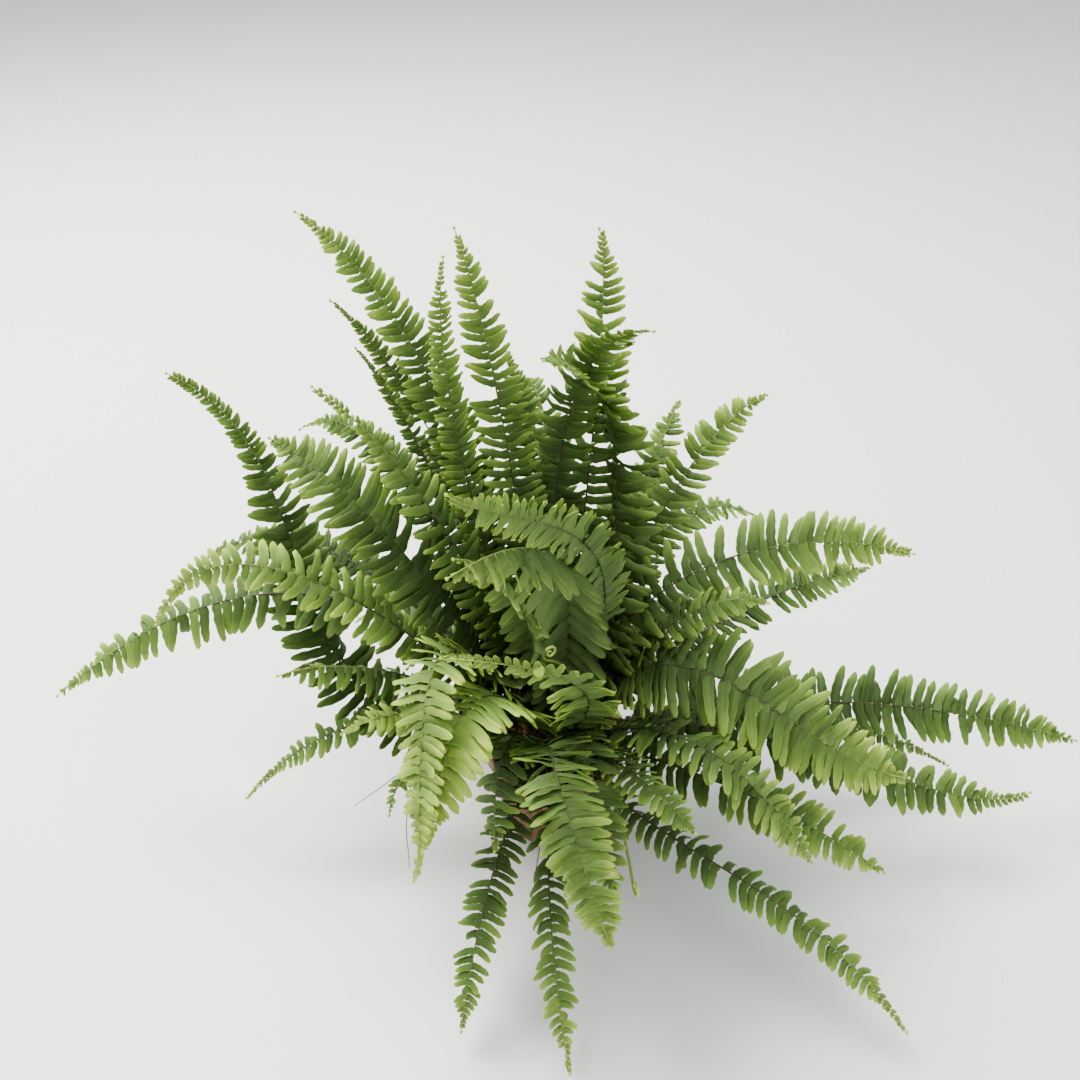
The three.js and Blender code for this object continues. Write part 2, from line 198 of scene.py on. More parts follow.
def turned(name: str, profile: list[tuple[float, float]], sides: int) -> bpy.types.Mesh:
    """A closed shape turned about the Z axis.

    Args:
        name: The mesh's name.
        profile: Pairs of radius and height. It starts and ends on the axis, bottom first.
        sides: How many sides the turning has.

    Returns:
        The mesh.
    """
    angles = np.arange(sides) * 2 * math.pi / sides
    rings = profile[1:-1]
    points = [np.array((0.0, 0.0, profile[0][1]))]
    for radius, height in rings:
        points += [np.array((radius * math.cos(a), radius * math.sin(a), height)) for a in angles]
    points.append(np.array((0.0, 0.0, profile[-1][1])))
    last = len(points) - 1
    faces: list[tuple[int, ...]] = []
    for i in range(sides):
        j = (i + 1) % sides
        faces.append((0, 1 + j, 1 + i))
        for ring in range(len(rings) - 1):
            low, high = 1 + ring * sides, 1 + (ring + 1) * sides
            faces.append((low + i, low + j, high + j, high + i))
        top = 1 + (len(rings) - 1) * sides
        faces.append((top + i, top + j, last))
    return mesh_of(name, np.array(points), faces)


# ---------------------------------------------------------------- node trees
class TreeMaker:
    """Adds nodes to one node tree and links them as they are made."""

    def __init__(self, tree: bpy.types.NodeTree) -> None:
        """Takes the tree to add to."""
        self.tree = tree

    def add(self, kind: str, inputs: dict[int | str, Any] | None = None, **settings: Any) -> bpy.types.Node:
        """Adds a node.

        Args:
            kind: The node's type.
            inputs: A value or another node's output for each input that is set.
            **settings: The node's own settings.

        Returns:
            The node.
        """
        node = self.tree.nodes.new(kind)
        for key, value in settings.items():
            setattr(node, key, value)
        for key, value in (inputs or {}).items():
            if isinstance(value, bpy.types.NodeSocket):
                self.tree.links.new(value, node.inputs[key])
            else:
                node.inputs[key].default_value = value
        return node

    def math(self, operation: str, *values: Any) -> bpy.types.NodeSocket:
        """The result of a sum on numbers.

        Args:
            operation: What to do with them.
            *values: The numbers, or outputs that give them.

        Returns:
            The output with the result.
        """
        return self.add("ShaderNodeMath", dict(enumerate(values)), operation=operation).outputs[0]

    def vector(self, operation: str, *values: Any) -> bpy.types.NodeSocket:
        """The result of a sum on vectors.

        Args:
            operation: What to do with them.
            *values: The vectors, or outputs that give them.

        Returns:
            The output with the result, which is a number for a dot product.
        """
        node = self.add("ShaderNodeVectorMath", dict(enumerate(values)), operation=operation)
        return node.outputs[1 if operation == "DOT_PRODUCT" else 0]

    def scaled(self, vector: Any, factor: Any) -> bpy.types.NodeSocket:
        """A vector made longer or shorter.

        Args:
            vector: The vector.
            factor: How many times as long it becomes.

        Returns:
            The output with the result.
        """
        node = self.add("ShaderNodeVectorMath", {0: vector, "Scale": factor}, operation="SCALE")
        return node.outputs[0]


class ShapeTree(TreeMaker):
    """A Geometry Nodes tree with named inputs."""

    def __init__(self, name: str, inputs: list[tuple[str, str]]) -> None:
        """Makes an empty tree.

        Args:
            name: The tree's name.
            inputs: The name and socket type of each input after the geometry.
        """
        super().__init__(bpy.data.node_groups.new(name, "GeometryNodeTree"))
        face = self.tree.interface
        face.new_socket(name="Geometry", in_out="INPUT", socket_type="NodeSocketGeometry")
        face.new_socket(name="Geometry", in_out="OUTPUT", socket_type="NodeSocketGeometry")
        self.keys = {
            label: face.new_socket(name=label, in_out="INPUT", socket_type="NodeSocket" + kind).identifier
            for label, kind in inputs
        }
        self.given = self.add("NodeGroupInput").outputs

    def read(self, name: str, kind: str = "FLOAT") -> bpy.types.NodeSocket:
        """The output that reads a stored attribute."""
        return self.add("GeometryNodeInputNamedAttribute", {0: name}, data_type=kind).outputs[0]

    def random(self, low: Any, high: Any, step: float) -> bpy.types.NodeSocket:
        """A random number for each element.

        Args:
            low: The least value.
            high: The greatest value.
            step: What is added to the given seed, so that each number is drawn apart.

        Returns:
            The output with the number.
        """
        seed = self.math("ADD", self.given["Seed"], step)
        return self.add("FunctionNodeRandomValue", {2: low, 3: high, "Seed": seed}).outputs[1]

    def shape_of(self, label: str) -> bpy.types.NodeSocket:
        """The output with the shape of a given object."""
        return self.add("GeometryNodeObjectInfo", {"Object": self.given[label]}).outputs["Geometry"]

    def spun(self, rotation: Any, angles: dict[int | str, Any]) -> bpy.types.NodeSocket:
        """A rotation turned further about its own axes.

        Args:
            rotation: The output with the rotation.
            angles: The angle about X, Y and Z, where it isn't nought.

        Returns:
            The output with the new rotation.
        """
        turn = self.add("ShaderNodeCombineXYZ", angles).outputs[0]
        swing = self.add("FunctionNodeEulerToRotation", {0: turn}).outputs[0]
        inputs = {"Rotation": rotation, "Rotate By": swing}
        return self.add("FunctionNodeRotateRotation", inputs, rotation_space="LOCAL").outputs[0]

    def copies(self, points: Any, kept: Any, shape: Any, facing: Any, size: Any, **more: Any) -> Any:
        """Copies of a shape on points.

        Args:
            points: The output with the points.
            kept: The output that picks the points that get a copy.
            shape: The output with the shape, or with the shapes to choose from.
            facing: The output with each copy's rotation.
            size: The output with each copy's size.
            **more: The node's further inputs, with _ for a space.

        Returns:
            The output with the copies.
        """
        inputs = {"Points": points, "Selection": kept, "Instance": shape, "Rotation": facing, "Scale": size}
        inputs |= {key.replace("_", " "): value for key, value in more.items()}
        return self.add("GeometryNodeInstanceOnPoints", inputs).outputs[0]

    def real(self, shape: Any) -> bpy.types.NodeSocket:
        """The output with a shape whose copies are made real."""
        return self.add("GeometryNodeRealizeInstances", {0: shape}).outputs[0]

    def dressed(self, shape: Any, finish: str) -> bpy.types.NodeSocket:
        """The output with a shape in one of the given finishes."""
        inputs = {"Geometry": shape, "Material": self.given[finish]}
        return self.add("GeometryNodeSetMaterial", inputs).outputs[0]

    def joined(self, *shapes: Any) -> bpy.types.NodeSocket:
        """The output with several shapes as one."""
        node = self.tree.nodes.new("GeometryNodeJoinGeometry")
        for shape in shapes:
            self.tree.links.new(shape, node.inputs[0])
        return node.outputs[0]

    def finish(self, *shapes: Any) -> None:
        """Joins the shapes and sends them out."""
        self.add("NodeGroupOutput", {0: self.joined(*shapes)})

    def made(self, name: str, host: bpy.types.Mesh, values: dict[str, Any]) -> bpy.types.Object:
        """A plain piece that this tree makes from a host mesh.

        Args:
            name: The piece's name.
            host: The mesh that the tree starts from.
            values: A value for each named input.

        Returns:
            The piece, with no modifier left on it.
        """
        guide = in_scene(name + "_guide", host)
        modifier = guide.modifiers.new("shape", "NODES")
        modifier.node_group = self.tree
        for label, value in values.items():
            modifier[self.keys[label]] = value
        graph = bpy.context.evaluated_depsgraph_get()
        shown = guide.evaluated_get(graph)
        mesh = bpy.data.meshes.new_from_object(shown, preserve_all_data_layers=True, depsgraph=graph)
        mesh.name = name
        piece = in_scene(name, mesh)
        guide.modifiers.remove(modifier)
        bpy.data.objects.remove(guide)
        return piece


# ---------------------------------------------------------------- finishes
class Slot(Enum):
    """The record's material slots."""

    POT = "pot_plastic"
    SOIL = "potting_soil"
    CROWN = "crown_fibre"
    MATURE = "frond_mature"
    MIDDLE = "frond_middle"
    YOUNG = "frond_young"
    RUNNER = "runner"


def new_material(name: str) -> tuple[bpy.types.Material, TreeMaker, bpy.types.Node, bpy.types.Node]:
    """A material with one Principled shader.

    Args:
        name: The material's name.

    Returns:
        The material, a maker for its nodes, its shader and its output node.
    """
    material = bpy.data.materials.new(name)
    material.use_nodes = True
    nodes = material.node_tree.nodes
    return material, TreeMaker(material.node_tree), nodes["Principled BSDF"], nodes["Material Output"]


def attribute(maker: TreeMaker, name: str) -> bpy.types.NodeSocket:
    """The output that reads a number stored on the mesh."""
    return maker.add("ShaderNodeAttribute", attribute_name=name).outputs["Fac"]


def ramp(maker: TreeMaker, factor: Any, stops: list[tuple[float, Colour]]) -> bpy.types.NodeSocket:
    """A colour ramp.

    Args:
        maker: The maker for the material's nodes.
        factor: The output that the ramp reads.
        stops: The place and colour of each stop, in order.

    Returns:
        The output with the colour.
    """
    node = maker.add("ShaderNodeValToRGB", {0: factor})
    elements = node.color_ramp.elements
    while len(elements) < len(stops):
        elements.new(0.5)
    for element, (place, shade) in zip(elements, stops):
        element.position = place
        element.color = shade
    return node.outputs[0]


def noise(maker: TreeMaker, scale: float, detail: float = 3.0) -> bpy.types.NodeSocket:
    """A noise pattern on the object's own places.

    Args:
        maker: The maker for the material's nodes.
        scale: How fine it is, in waves to the metre.
        detail: How many finer layers it has.

    Returns:
        The output with the noise, 0 to 1.
    """
    place = maker.add("ShaderNodeTexCoord").outputs["Object"]
    return maker.add("ShaderNodeTexNoise", {"Vector": place, "Scale": scale, "Detail": detail}).outputs[0]


def mixed(maker: TreeMaker, factor: Any, first: Any, second: Any) -> bpy.types.NodeSocket:
    """Two colours mixed.

    Args:
        maker: The maker for the material's nodes.
        factor: How much of the second shows.
        first: The first colour, or the output that gives it.
        second: The second colour, or the output that gives it.

    Returns:
        The output with the colour.
    """
    return maker.add("ShaderNodeMix", {0: factor, 6: first, 7: second}, data_type="RGBA").outputs[2]


def fed(maker: TreeMaker, shader: bpy.types.Node, outputs: dict[str, Any]) -> None:
    """Leads outputs to a shader's inputs.

    Args:
        maker: The maker for the material's nodes.
        shader: The shader.
        outputs: The output for each named input.
    """
    for name, output in outputs.items():
        maker.tree.links.new(output, shader.inputs[name])


def bumped(maker: TreeMaker, height: Any, strength: float, distance: float) -> bpy.types.NodeSocket:
    """A normal that follows a height.

    Args:
        maker: The maker for the material's nodes.
        height: The output with the height, 0 to 1.
        strength: How much of it shows.
        distance: How high a height of 1 stands, in metres.

    Returns:
        The output with the normal.
    """
    inputs = {"Height": height, "Strength": strength, "Distance": distance}
    return maker.add("ShaderNodeBump", inputs).outputs[0]


@dataclass(frozen=True)
class LeafFinish:
    """Leaflets: deep green when old, yellow-green when fresh, with painted light and shade: darker at the base
    where shade falls between leaflets, a painted highlight along the edges, and paler tips that are partly
    their own yellow-green and partly painted light.
    """

    deep: Colour = colour(42, 60, 36)
    full: Colour = colour(92, 116, 62)
    bright: Colour = colour(142, 170, 84)
    fresh: Colour = colour(202, 224, 110)
    underside: Colour = colour(128, 150, 98)
    light_through: Colour = colour(156, 192, 76)
    through_share: float = 0.28
    through_tone: float = 0.6
    roughness: float = 0.48
    shine_spread: float = 0.18
    specular: float = 0.3
    vein_count: float = 26.0
    vein_slant: float = 5.0
    vein_pale: float = 0.24
    midrib_pale: float = 0.28
    midrib_narrow: float = 9.0
    under_pale: float = 0.55
    # Paler to the tip, partly the leaflet's own yellow-green and partly painted light; the base is darkened
    # with painted shade.
    tip_power: float = 1.9
    tip_pale_and_painted_light: float = 0.6
    base_painted_shade: float = 0.21
    # A painted highlight along each leaflet's edge.
    margin_highlight_power: float = 5.0
    margin_painted_highlight: float = 0.24
    blotch: float = 0.3
    relief: float = 0.0003

    def material(self) -> bpy.types.Material:
        """The material of every leaflet.

        Returns:
            The material.
        """
        material, maker, shader, output = new_material("leaflet")
        along, across = attribute(maker, "along"), attribute(maker, "across")
        edge = maker.math("ABSOLUTE", across)
        veins = self.veins(maker, along, edge)
        stops = [(0.0, self.deep), (0.35, self.full), (0.7, self.bright), (1.0, self.fresh)]
        # The ramp reads the freshness with painted light at the tip, a painted highlight at the edge and
        # painted shade at the base.
        face = ramp(maker, self.age(maker, along, edge), stops)
        face = mixed(maker, maker.math("MULTIPLY", veins, self.vein_pale), face, self.bright)
        near = maker.math("SMOOTH_MIN", maker.math("MULTIPLY", edge, self.midrib_narrow), 1.0, 0.2)
        midrib = maker.math("SUBTRACT", 1.0, near)
        face = mixed(maker, maker.math("MULTIPLY", midrib, self.midrib_pale), face, self.underside)
        under = maker.math("MULTIPLY", attribute(maker, "under"), self.under_pale)
        face = mixed(maker, under, face, self.underside)
        low = self.roughness - self.shine_spread / 2
        shine = maker.math("MULTIPLY_ADD", noise(maker, 260.0), self.shine_spread, low)
        shader.inputs["Specular IOR Level"].default_value = self.specular
        height = maker.math("ADD", veins, maker.math("MULTIPLY", noise(maker, 700.0), 0.5))
        normal = bumped(maker, height, 0.6, self.relief)
        fed(maker, shader, {"Base Color": face, "Roughness": shine, "Normal": normal})
        glow = mixed(maker, self.through_tone, face, self.light_through)
        through = maker.add("ShaderNodeBsdfTranslucent", {"Color": glow})
        inputs = {0: self.through_share, 1: shader.outputs[0], 2: through.outputs[0]}
        fed(maker, output, {"Surface": maker.add("ShaderNodeMixShader", inputs).outputs[0]})
        return material

    def age(self, maker: TreeMaker, along: Any, edge: Any) -> bpy.types.NodeSocket:
        """How fresh the green is, with painted light and shade added: paler to the tip (partly the leaflet's
        own yellow-green, partly painted light), darker at the base with painted shade, a painted highlight
        along the edge, and soft blotches.

        Args:
            maker: The maker for the material's nodes.
            along: The output with the place along the leaflet.
            edge: The output with the distance from its midrib.

        Returns:
            The output with the freshness and the painted light and shade, 0 to 1.
        """
        # The tip term paints each leaflet paler to its tip, partly its own yellow-green and partly painted
        # light, less a painted shade at its base.
        tip = maker.math("POWER", along, self.tip_power)
        # The margin term is a painted highlight along the edge.
        margin_highlight = maker.math("POWER", edge, self.margin_highlight_power)
        parts = (
            maker.math("MULTIPLY_ADD", tip, self.tip_pale_and_painted_light, -self.base_painted_shade),
            maker.math("MULTIPLY", margin_highlight, self.margin_painted_highlight),
            maker.math("MULTIPLY_ADD", noise(maker, 90.0), self.blotch, -self.blotch / 2),
        )
        age = maker.math("ADD", attribute(maker, "fresh"), attribute(maker, "tint"))
        for part in parts:
            age = maker.math("ADD", age, part)
        return age

    def veins(self, maker: TreeMaker, along: Any, edge: Any) -> bpy.types.NodeSocket:
        """The fine side veins, which slant from the midrib to the edge.

        Args:
            maker: The maker for the material's nodes.
            along: The output with the place along the leaflet.
            edge: The output with the distance from its midrib.

        Returns:
            The output with the pattern, 0 to 1.
        """
        run = maker.math("MULTIPLY", along, self.vein_count * 2 * math.pi)
        slant = maker.math("MULTIPLY", edge, self.vein_slant * 2 * math.pi)
        wave = maker.math("SINE", maker.math("SUBTRACT", run, slant))
        return maker.math("MULTIPLY_ADD", wave, 0.5, 0.5)


@dataclass(frozen=True)
class StalkFinish:
    """Stipes and midribs: brown at the foot, greener and paler towards the tip."""

    foot: Colour = colour(74, 54, 36)
    middle: Colour = colour(66, 72, 36)
    tip: Colour = colour(128, 148, 70)
    coil: Colour = colour(196, 212, 118)
    roughness: float = 0.55
    streak: float = 0.35
    relief: float = 0.0002

    def material(self) -> bpy.types.Material:
        """The material of the stalks and their chaff.

        Returns:
            The material.
        """
        material, maker, shader, _ = new_material("stalk")
        stops = [(0.0, self.foot), (0.45, self.middle), (0.84, self.tip), (1.0, self.coil)]
        base = ramp(maker, attribute(maker, "fresh"), stops)
        streak = maker.math("MULTIPLY", noise(maker, 500.0), self.streak)
        normal = bumped(maker, noise(maker, 1500.0), 0.5, self.relief)
        shader.inputs["Roughness"].default_value = self.roughness
        fed(maker, shader, {"Base Color": mixed(maker, streak, base, self.foot), "Normal": normal})
        return material


@dataclass(frozen=True)
class GrainFinish:
    """A rough natural or moulded surface with two colours in its grain."""

    name: str
    dark: Colour
    light: Colour
    grain: float
    roughness: float
    relief: float
    specular: float = 0.3
    wear: float = 0.2

    def material(self) -> bpy.types.Material:
        """The material.

        Returns:
            The material.
        """
        material, maker, shader, _ = new_material(self.name)
        shade = ramp(maker, noise(maker, self.grain, 5.0), [(0.3, self.dark), (0.7, self.light)])
        low = self.roughness - self.wear / 2
        worn = maker.math("MULTIPLY_ADD", noise(maker, self.grain * 3), self.wear, low)
        shader.inputs["Specular IOR Level"].default_value = self.specular
        normal = bumped(maker, noise(maker, self.grain * 4, 6.0), 0.6, self.relief)
        fed(maker, shader, {"Base Color": shade, "Roughness": worn, "Normal": normal})
        return material


POT_FINISH = GrainFinish(
    name="pot_plastic",
    dark=colour(120, 82, 64),
    light=colour(140, 100, 80),
    grain=160.0,
    roughness=0.55,
    relief=0.0002,
)
SOIL_FINISH = GrainFinish(
    name="potting_soil",
    dark=colour(26, 19, 14),
    light=colour(70, 52, 38),
    grain=240.0,
    roughness=0.95,
    relief=0.002,
    specular=0.15,
)
CROWN_FINISH = GrainFinish(
    name="crown_fibre",
    dark=colour(44, 30, 18),
    light=colour(112, 84, 48),
    grain=420.0,
    roughness=0.8,
    relief=0.001,
)
RUNNER_FINISH = GrainFinish(
    name="runner",
    dark=colour(96, 70, 46),
    light=colour(150, 122, 88),
    grain=300.0,
    roughness=0.7,
    relief=0.0003,
)


# ---------------------------------------------------------------- sizes shared with the CAD frame
@dataclass(frozen=True)
class PotSizes:
    """The pot's sizes."""

    rim_radius: float = 60 * MM
    base_radius: float = 43 * MM
    height: float = 92 * MM
    wall: float = 1.6 * MM
    floor: float = 2 * MM
    lip: float = 0.8 * MM
    lip_depth: float = 3 * MM
    band_depth: float = 14 * MM
    band_step: float = 2 * MM
    chamfer: float = 0.6 * MM
    foot_rise: float = 1.6 * MM
    foot_width: float = 7 * MM
    pad_radius: float = 13 * MM
    drain_count: int = 6
    drain_radius: float = 4 * MM
    drain_circle: float = 25 * MM

    def radius_at(self, height: float) -> float:
        """The tapered wall's outer radius at a height."""
        under = self.rim_radius - self.band_step
        return self.base_radius + (under - self.base_radius) * height / self.height

    def by_rim(self, place: Place) -> Array:
        """The point at a place that is given from the pot's rim."""
        bearing, past, above = place
        return polar(bearing, self.rim_radius + past * MM, self.height + above * MM)


@dataclass(frozen=True)
class CrownSizes:
    """The crown's sizes and where it stands."""

    radius: float = 33 * MM
    height: float = 24 * MM
    skirt: float = 3 * MM
    foot: float = 88.3 * MM

    def at(self, bearing: float, seat: float, off: float) -> Array:
        """A point that stands off the crown's dome.

        Args:
            bearing: Degrees round from +X.
            seat: Degrees down from the crown's top.
            off: How far off the dome it is.

        Returns:
            The point.
        """
        a, s = math.radians(bearing), math.radians(seat)
        around = np.array((math.sin(s) * math.cos(a), math.sin(s) * math.sin(a), math.cos(s)))
        span = np.array((self.radius, self.radius, self.height))
        outward = unit(around / span)
        return around * span + (self.foot + self.skirt) * UP + off * outward


POT = PotSizes()
CROWN = CrownSizes()
GAP = 0.3 * MM


class Seat(Enum):
    """Where a stalk leaves the crown, in degrees down from its top."""

    INNER = 24
    MIDDLE = 43
    LOWER = 59
    OUTER = 76


class Age(Enum):
    """How old a frond is: how fresh its green is, and its material slot in the record."""

    MATURE = (0.14, Slot.MATURE)
    GROWING = (0.31, Slot.MIDDLE)
    YOUNG = (0.54, Slot.YOUNG)

    @property
    def fresh(self) -> float:
        """How fresh the green is, from 0 to 1."""
        return self.value[0]

    @property
    def slot(self) -> Slot:
        """Its material slot in the record."""
        return self.value[1]


@dataclass(frozen=True)
class Carriage:
    """How a frond carries its leaflets.

    Hang is how strongly they turn to the ground, bend is how far each bows over its length in radians,
    dense is how closely they stand, tail is the share of the blade that is a thin tip of tiny,
    round leaflets, full is how far they reach for the frond's width, stout is how broad they are for
    their length, and knob is the width of the bud part of the way along, in metres.
    """

    hang: float
    bend: float
    dense: float
    tail: float
    full: float = 1.08
    stout: float = 1.0
    knob: float = 0.0


class Habit(Enum):
    """The ways in which fronds carry their leaflets."""

    PLAIN = Carriage(0.06, 0.38, 1.06, 0.1, 1.08, 0.97)
    BROAD = Carriage(0.0, 0.42, 1.08, 0.07, 1.12)
    CROWDED = Carriage(0.0, 0.3, 1.45, 0.08, 1.14, 0.86)
    STOUT = Carriage(0.0, 0.32, 1.2, 0.14, 1.2, 1.08)
    OPEN = Carriage(0.02, 0.34, 0.96, 0.08, 1.14, 1.0)
    CHAINED = Carriage(0.02, 0.34, 1.02, 0.36, 1.26, 1.0)
    HANGING = Carriage(1.2, 0.5, 0.85, 0.08, 1.15)
    RIBBED = Carriage(0.3, 0.95, 1.3, 0.1, 1.22)
    CURLY = Carriage(0.1, 0.95, 0.86, 0.14, 1.12, 1.06)
    WISPY = Carriage(0.03, 0.5, 0.86, 0.28, 1.12, 1.15)
    SPARSE = Carriage(0.0, 0.5, 0.8, 0.36, 1.35, 1.2, 8.5 * MM)


# ---------------------------------------------------------------- arches
@dataclass(frozen=True)
class Stations:
    """Places along a stalk: where each is, which way the stalk runs there, its side and its upper face."""

    point: Array
    along: Array
    side: Array
    face: Array


class Arch:
    """One smooth stalk from the crown, through its places, to its tip."""

    SAMPLES = 401

    def __init__(self, seat: Seat, places: list[Place], radius: float) -> None:
        """Lays the stalk out.

        Args:
            seat: Where it leaves the crown.
            places: The places that it passes through, and its tip.
            radius: The radius of its foot.
        """
        self.bearing = places[0][0]
        through = [POT.by_rim(place) for place in places]
        root = CROWN.at(self.bearing, seat.value, 0.0)
        outward = CROWN.at(self.bearing, seat.value, 1.0) - root
        lead = unit(self.handles(root, through)[1] - root)
        slant = math.sqrt(max(0.0, 1 - float(lead @ outward) ** 2))
        root = root + outward * (GAP + radius * slant)
        handles = self.handles(root, through)
        steps = np.linspace(0, 1, self.SAMPLES)[:, None]
        degree = len(handles) - 1
        line = sum(
            math.comb(degree, i) * (1 - steps) ** (degree - i) * steps**i * handle
            for i, handle in enumerate(handles)
        )
        self.line = np.asarray(line)
        runs = np.linalg.norm(np.diff(self.line, axis=0), axis=1)
        self.shares = np.concatenate(([0.0], np.cumsum(runs)))
        self.length = float(self.shares[-1])
        self.shares = self.shares / self.length

    @staticmethod
    def handles(root: Array, through: list[Array]) -> list[Array]:
        """The control points of the curve that passes through the places.

        Args:
            root: The stalk's foot.
            through: Its places and its tip.

        Returns:
            Three control points for one place and a tip, or four for two places and a tip.
        """
        tip = through[-1]
        if len(through) == 2:
            return [root, 2 * through[0] - (root + tip) / 2, tip]
        first, second = through[:2]
        rising = (-5 * root + 18 * first - 9 * second + 2 * tip) / 6
        falling = (2 * root - 9 * first + 18 * second - 5 * tip) / 6
        return [root, rising, falling, tip]

    def points(self, shares: Array) -> Array:
        """The points at shares of the stalk's length."""
        return np.stack([np.interp(shares, self.shares, self.line[:, i]) for i in range(3)], axis=1)

    def stations(self, shares: Array, twist: float) -> Stations:
        """The places at shares of the stalk's length.

        Args:
            shares: The shares, 0 to 1.
            twist: How far the blade turns towards its tip, in degrees.

        Returns:
            The places.
        """
        step = 1 / self.SAMPLES
        ahead = self.points(np.minimum(shares + step, 1.0))
        along = unit(ahead - self.points(np.maximum(shares - step, 0.0)))
        angle = math.radians(self.bearing)
        level = np.array((math.sin(angle), -math.cos(angle), 0.0))
        side = unit(level - (along @ level)[:, None] * along)
        side = turned_about(side, along, math.radians(twist) * np.sin(shares * math.pi / 2))
        return Stations(self.points(shares), along, side, unit(np.cross(side, along)))


# ---------------------------------------------------------------- leaflets
@dataclass(frozen=True)
class LeafletShape:
    """One leaflet, one unit long along +X and one unit wide, with its face up and its tip swept to +Y.

    A row is a place along it: its share of the length, half its width towards the frond's tip and
    half its width towards the frond's foot. The first rows make the ear at the base.
    """

    rows: tuple[tuple[float, float, float], ...] = (
        (-0.015, 0.34, 0.26),
        (0.03, 0.62, 0.38),
        (0.12, 0.61, 0.47),
        (0.26, 0.48, 0.50),
        (0.40, 0.46, 0.47),
        (0.55, 0.47, 0.46),
        (0.70, 0.45, 0.43),
        (0.83, 0.39, 0.36),
        (0.92, 0.29, 0.26),
        (0.975, 0.17, 0.15),
        (1.0, 0.05, 0.05),
    )
    columns: tuple[float, ...] = (-1.0, -0.55, 0.0, 0.55, 1.0)
    sickle: float = 0.42
    cup: float = 0.10
    groove: float = 0.05
    ruffle: float = 0.05
    ruffle_waves: float = 11.0
    scallop: float = 0.07
    uneven: float = 0.03
    thickness: float = 0.03

    def mesh(self, name: str, mirrored: bool, seed: int) -> bpy.types.Mesh:
        """Builds the leaflet.

        Args:
            name: The mesh's name.
            mirrored: Whether its tip sweeps to -Y.
            seed: The seed of its ruffles.

        Returns:
            The closed leaflet.
        """
        rng = np.random.default_rng(seed)
        count, wide = len(self.rows), len(self.columns)
        top = np.zeros((count, wide, 3))
        phase = rng.uniform(0, 2 * math.pi, 2)
        for i, (share, ahead, behind) in enumerate(self.rows):
            notched = (-1) ** i * self.scallop * (0.1 < share < 0.95)
            for j, across in enumerate(self.columns):
                half, side = (ahead, 0) if across > 0 else (behind, 1)
                edge = 1 + notched * abs(across) + rng.uniform(-self.uneven, self.uneven)
                wave = self.ruffle * math.sin(share * self.ruffle_waves + phase[side]) * across**2
                lift = self.groove * (0 < abs(across) < 1) * min(1.0, 6 * (1 - share))
                y = across * half * edge + self.sickle * share**2
                top[i, j] = (share, y, lift - self.cup * across**2 + wave)
        under = top[:, 1:-1] - (0.0, 0.0, self.thickness)
        points = np.concatenate([top.reshape(-1, 3), under.reshape(-1, 3)])
        faces = self.faces(count, wide)
        if mirrored:
            points[:, 1] *= -1
            faces = [face[::-1] for face in faces]
        mesh = mesh_of(name, points, faces)
        shares = [row[0] for row in self.rows]
        inner = wide - 2
        give_values(mesh, "along", np.concatenate([np.repeat(shares, wide), np.repeat(shares, inner)]))
        across = np.concatenate([np.tile(self.columns, count), np.tile(self.columns[1:-1], count)])
        give_values(mesh, "across", across)
        give_values(mesh, "under", np.repeat([0.0, 1.0], [count * wide, count * inner]))
        self.crease(mesh, count, wide)
        return mesh

    @staticmethod
    def faces(count: int, wide: int) -> list[tuple[int, ...]]:
        """The corners of each face. Both skins share the points of the rim.

        Args:
            count: How many rows the leaflet has.
            wide: How many columns it has.

        Returns:
            The faces, outwards.
        """
        upper = np.arange(count * wide).reshape(count, wide)
        lower = upper.copy()
        lower[:, 1:-1] = count * wide + np.arange(count * (wide - 2)).reshape(count, wide - 2)
        top, low = upper.tolist(), lower.tolist()
        faces: list[tuple[int, ...]] = []
        for i in range(count - 1):
            for j in range(wide - 1):
                faces.append((top[i][j], top[i + 1][j], top[i + 1][j + 1], top[i][j + 1]))
                faces.append((low[i][j], low[i][j + 1], low[i + 1][j + 1], low[i + 1][j]))
        for i, turn in ((0, 1), (count - 1, -1)):
            for j in range(wide - 1):
                ring = dict.fromkeys([top[i][j], top[i][j + 1], low[i][j + 1], low[i][j]])
                faces.append(tuple(ring)[::turn])
        return faces

    @staticmethod
    def crease(mesh: bpy.types.Mesh, count: int, wide: int) -> None:
        """Keeps the leaflet's edge crisp.

        Args:
            mesh: The leaflet.
            count: How many rows it has.
            wide: How many columns it has.
        """
        sharp = mesh.attributes.new("sharp_edge", "BOOLEAN", "EDGE")
        for edge in mesh.edges:
            first, second = edge.vertices
            on_rim = all(v < count * wide and v % wide in (0, wide - 1) for v in (first, second))
            sharp.data[edge.index].value = on_rim


def bud_mesh(name: str) -> bpy.types.Mesh:
    """A small round bud, one unit across, for the tip of a frond.

    Args:
        name: The mesh's name.

    Returns:
        The closed bud.
    """
    profile = [(0.0, -0.5), (0.3, -0.42), (0.48, -0.15), (0.5, 0.12), (0.36, 0.36), (0.0, 0.5)]
    mesh = turned(name, profile, 8)
    count = len(mesh.vertices)
    give_values(mesh, "along", np.full(count, 0.6))
    give_values(mesh, "across", np.full(count, 0.5))
    give_values(mesh, "under", np.zeros(count))
    return mesh


def scale_mesh(name: str) -> bpy.types.Mesh:
    """One papery scale, one unit long along +X, that tapers to a point.

    Args:
        name: The mesh's name.

    Returns:
        The closed scale.
    """
    points = np.array(
        [
            (0, -0.09, 0),
            (0, 0.09, 0),
            (0, 0, 0.06),
            (0.45, -0.13, 0.12),
            (0.45, 0.13, 0.12),
            (0.45, 0, 0.2),
            (1, 0, 0.42),
        ]
    )
    faces = [(0, 1, 2), (0, 3, 4, 1), (1, 4, 5, 2), (2, 5, 3, 0), (3, 6, 4), (4, 6, 5), (5, 6, 3)]
    faces = [face[::-1] for face in faces]
    return mesh_of(name, points, faces)


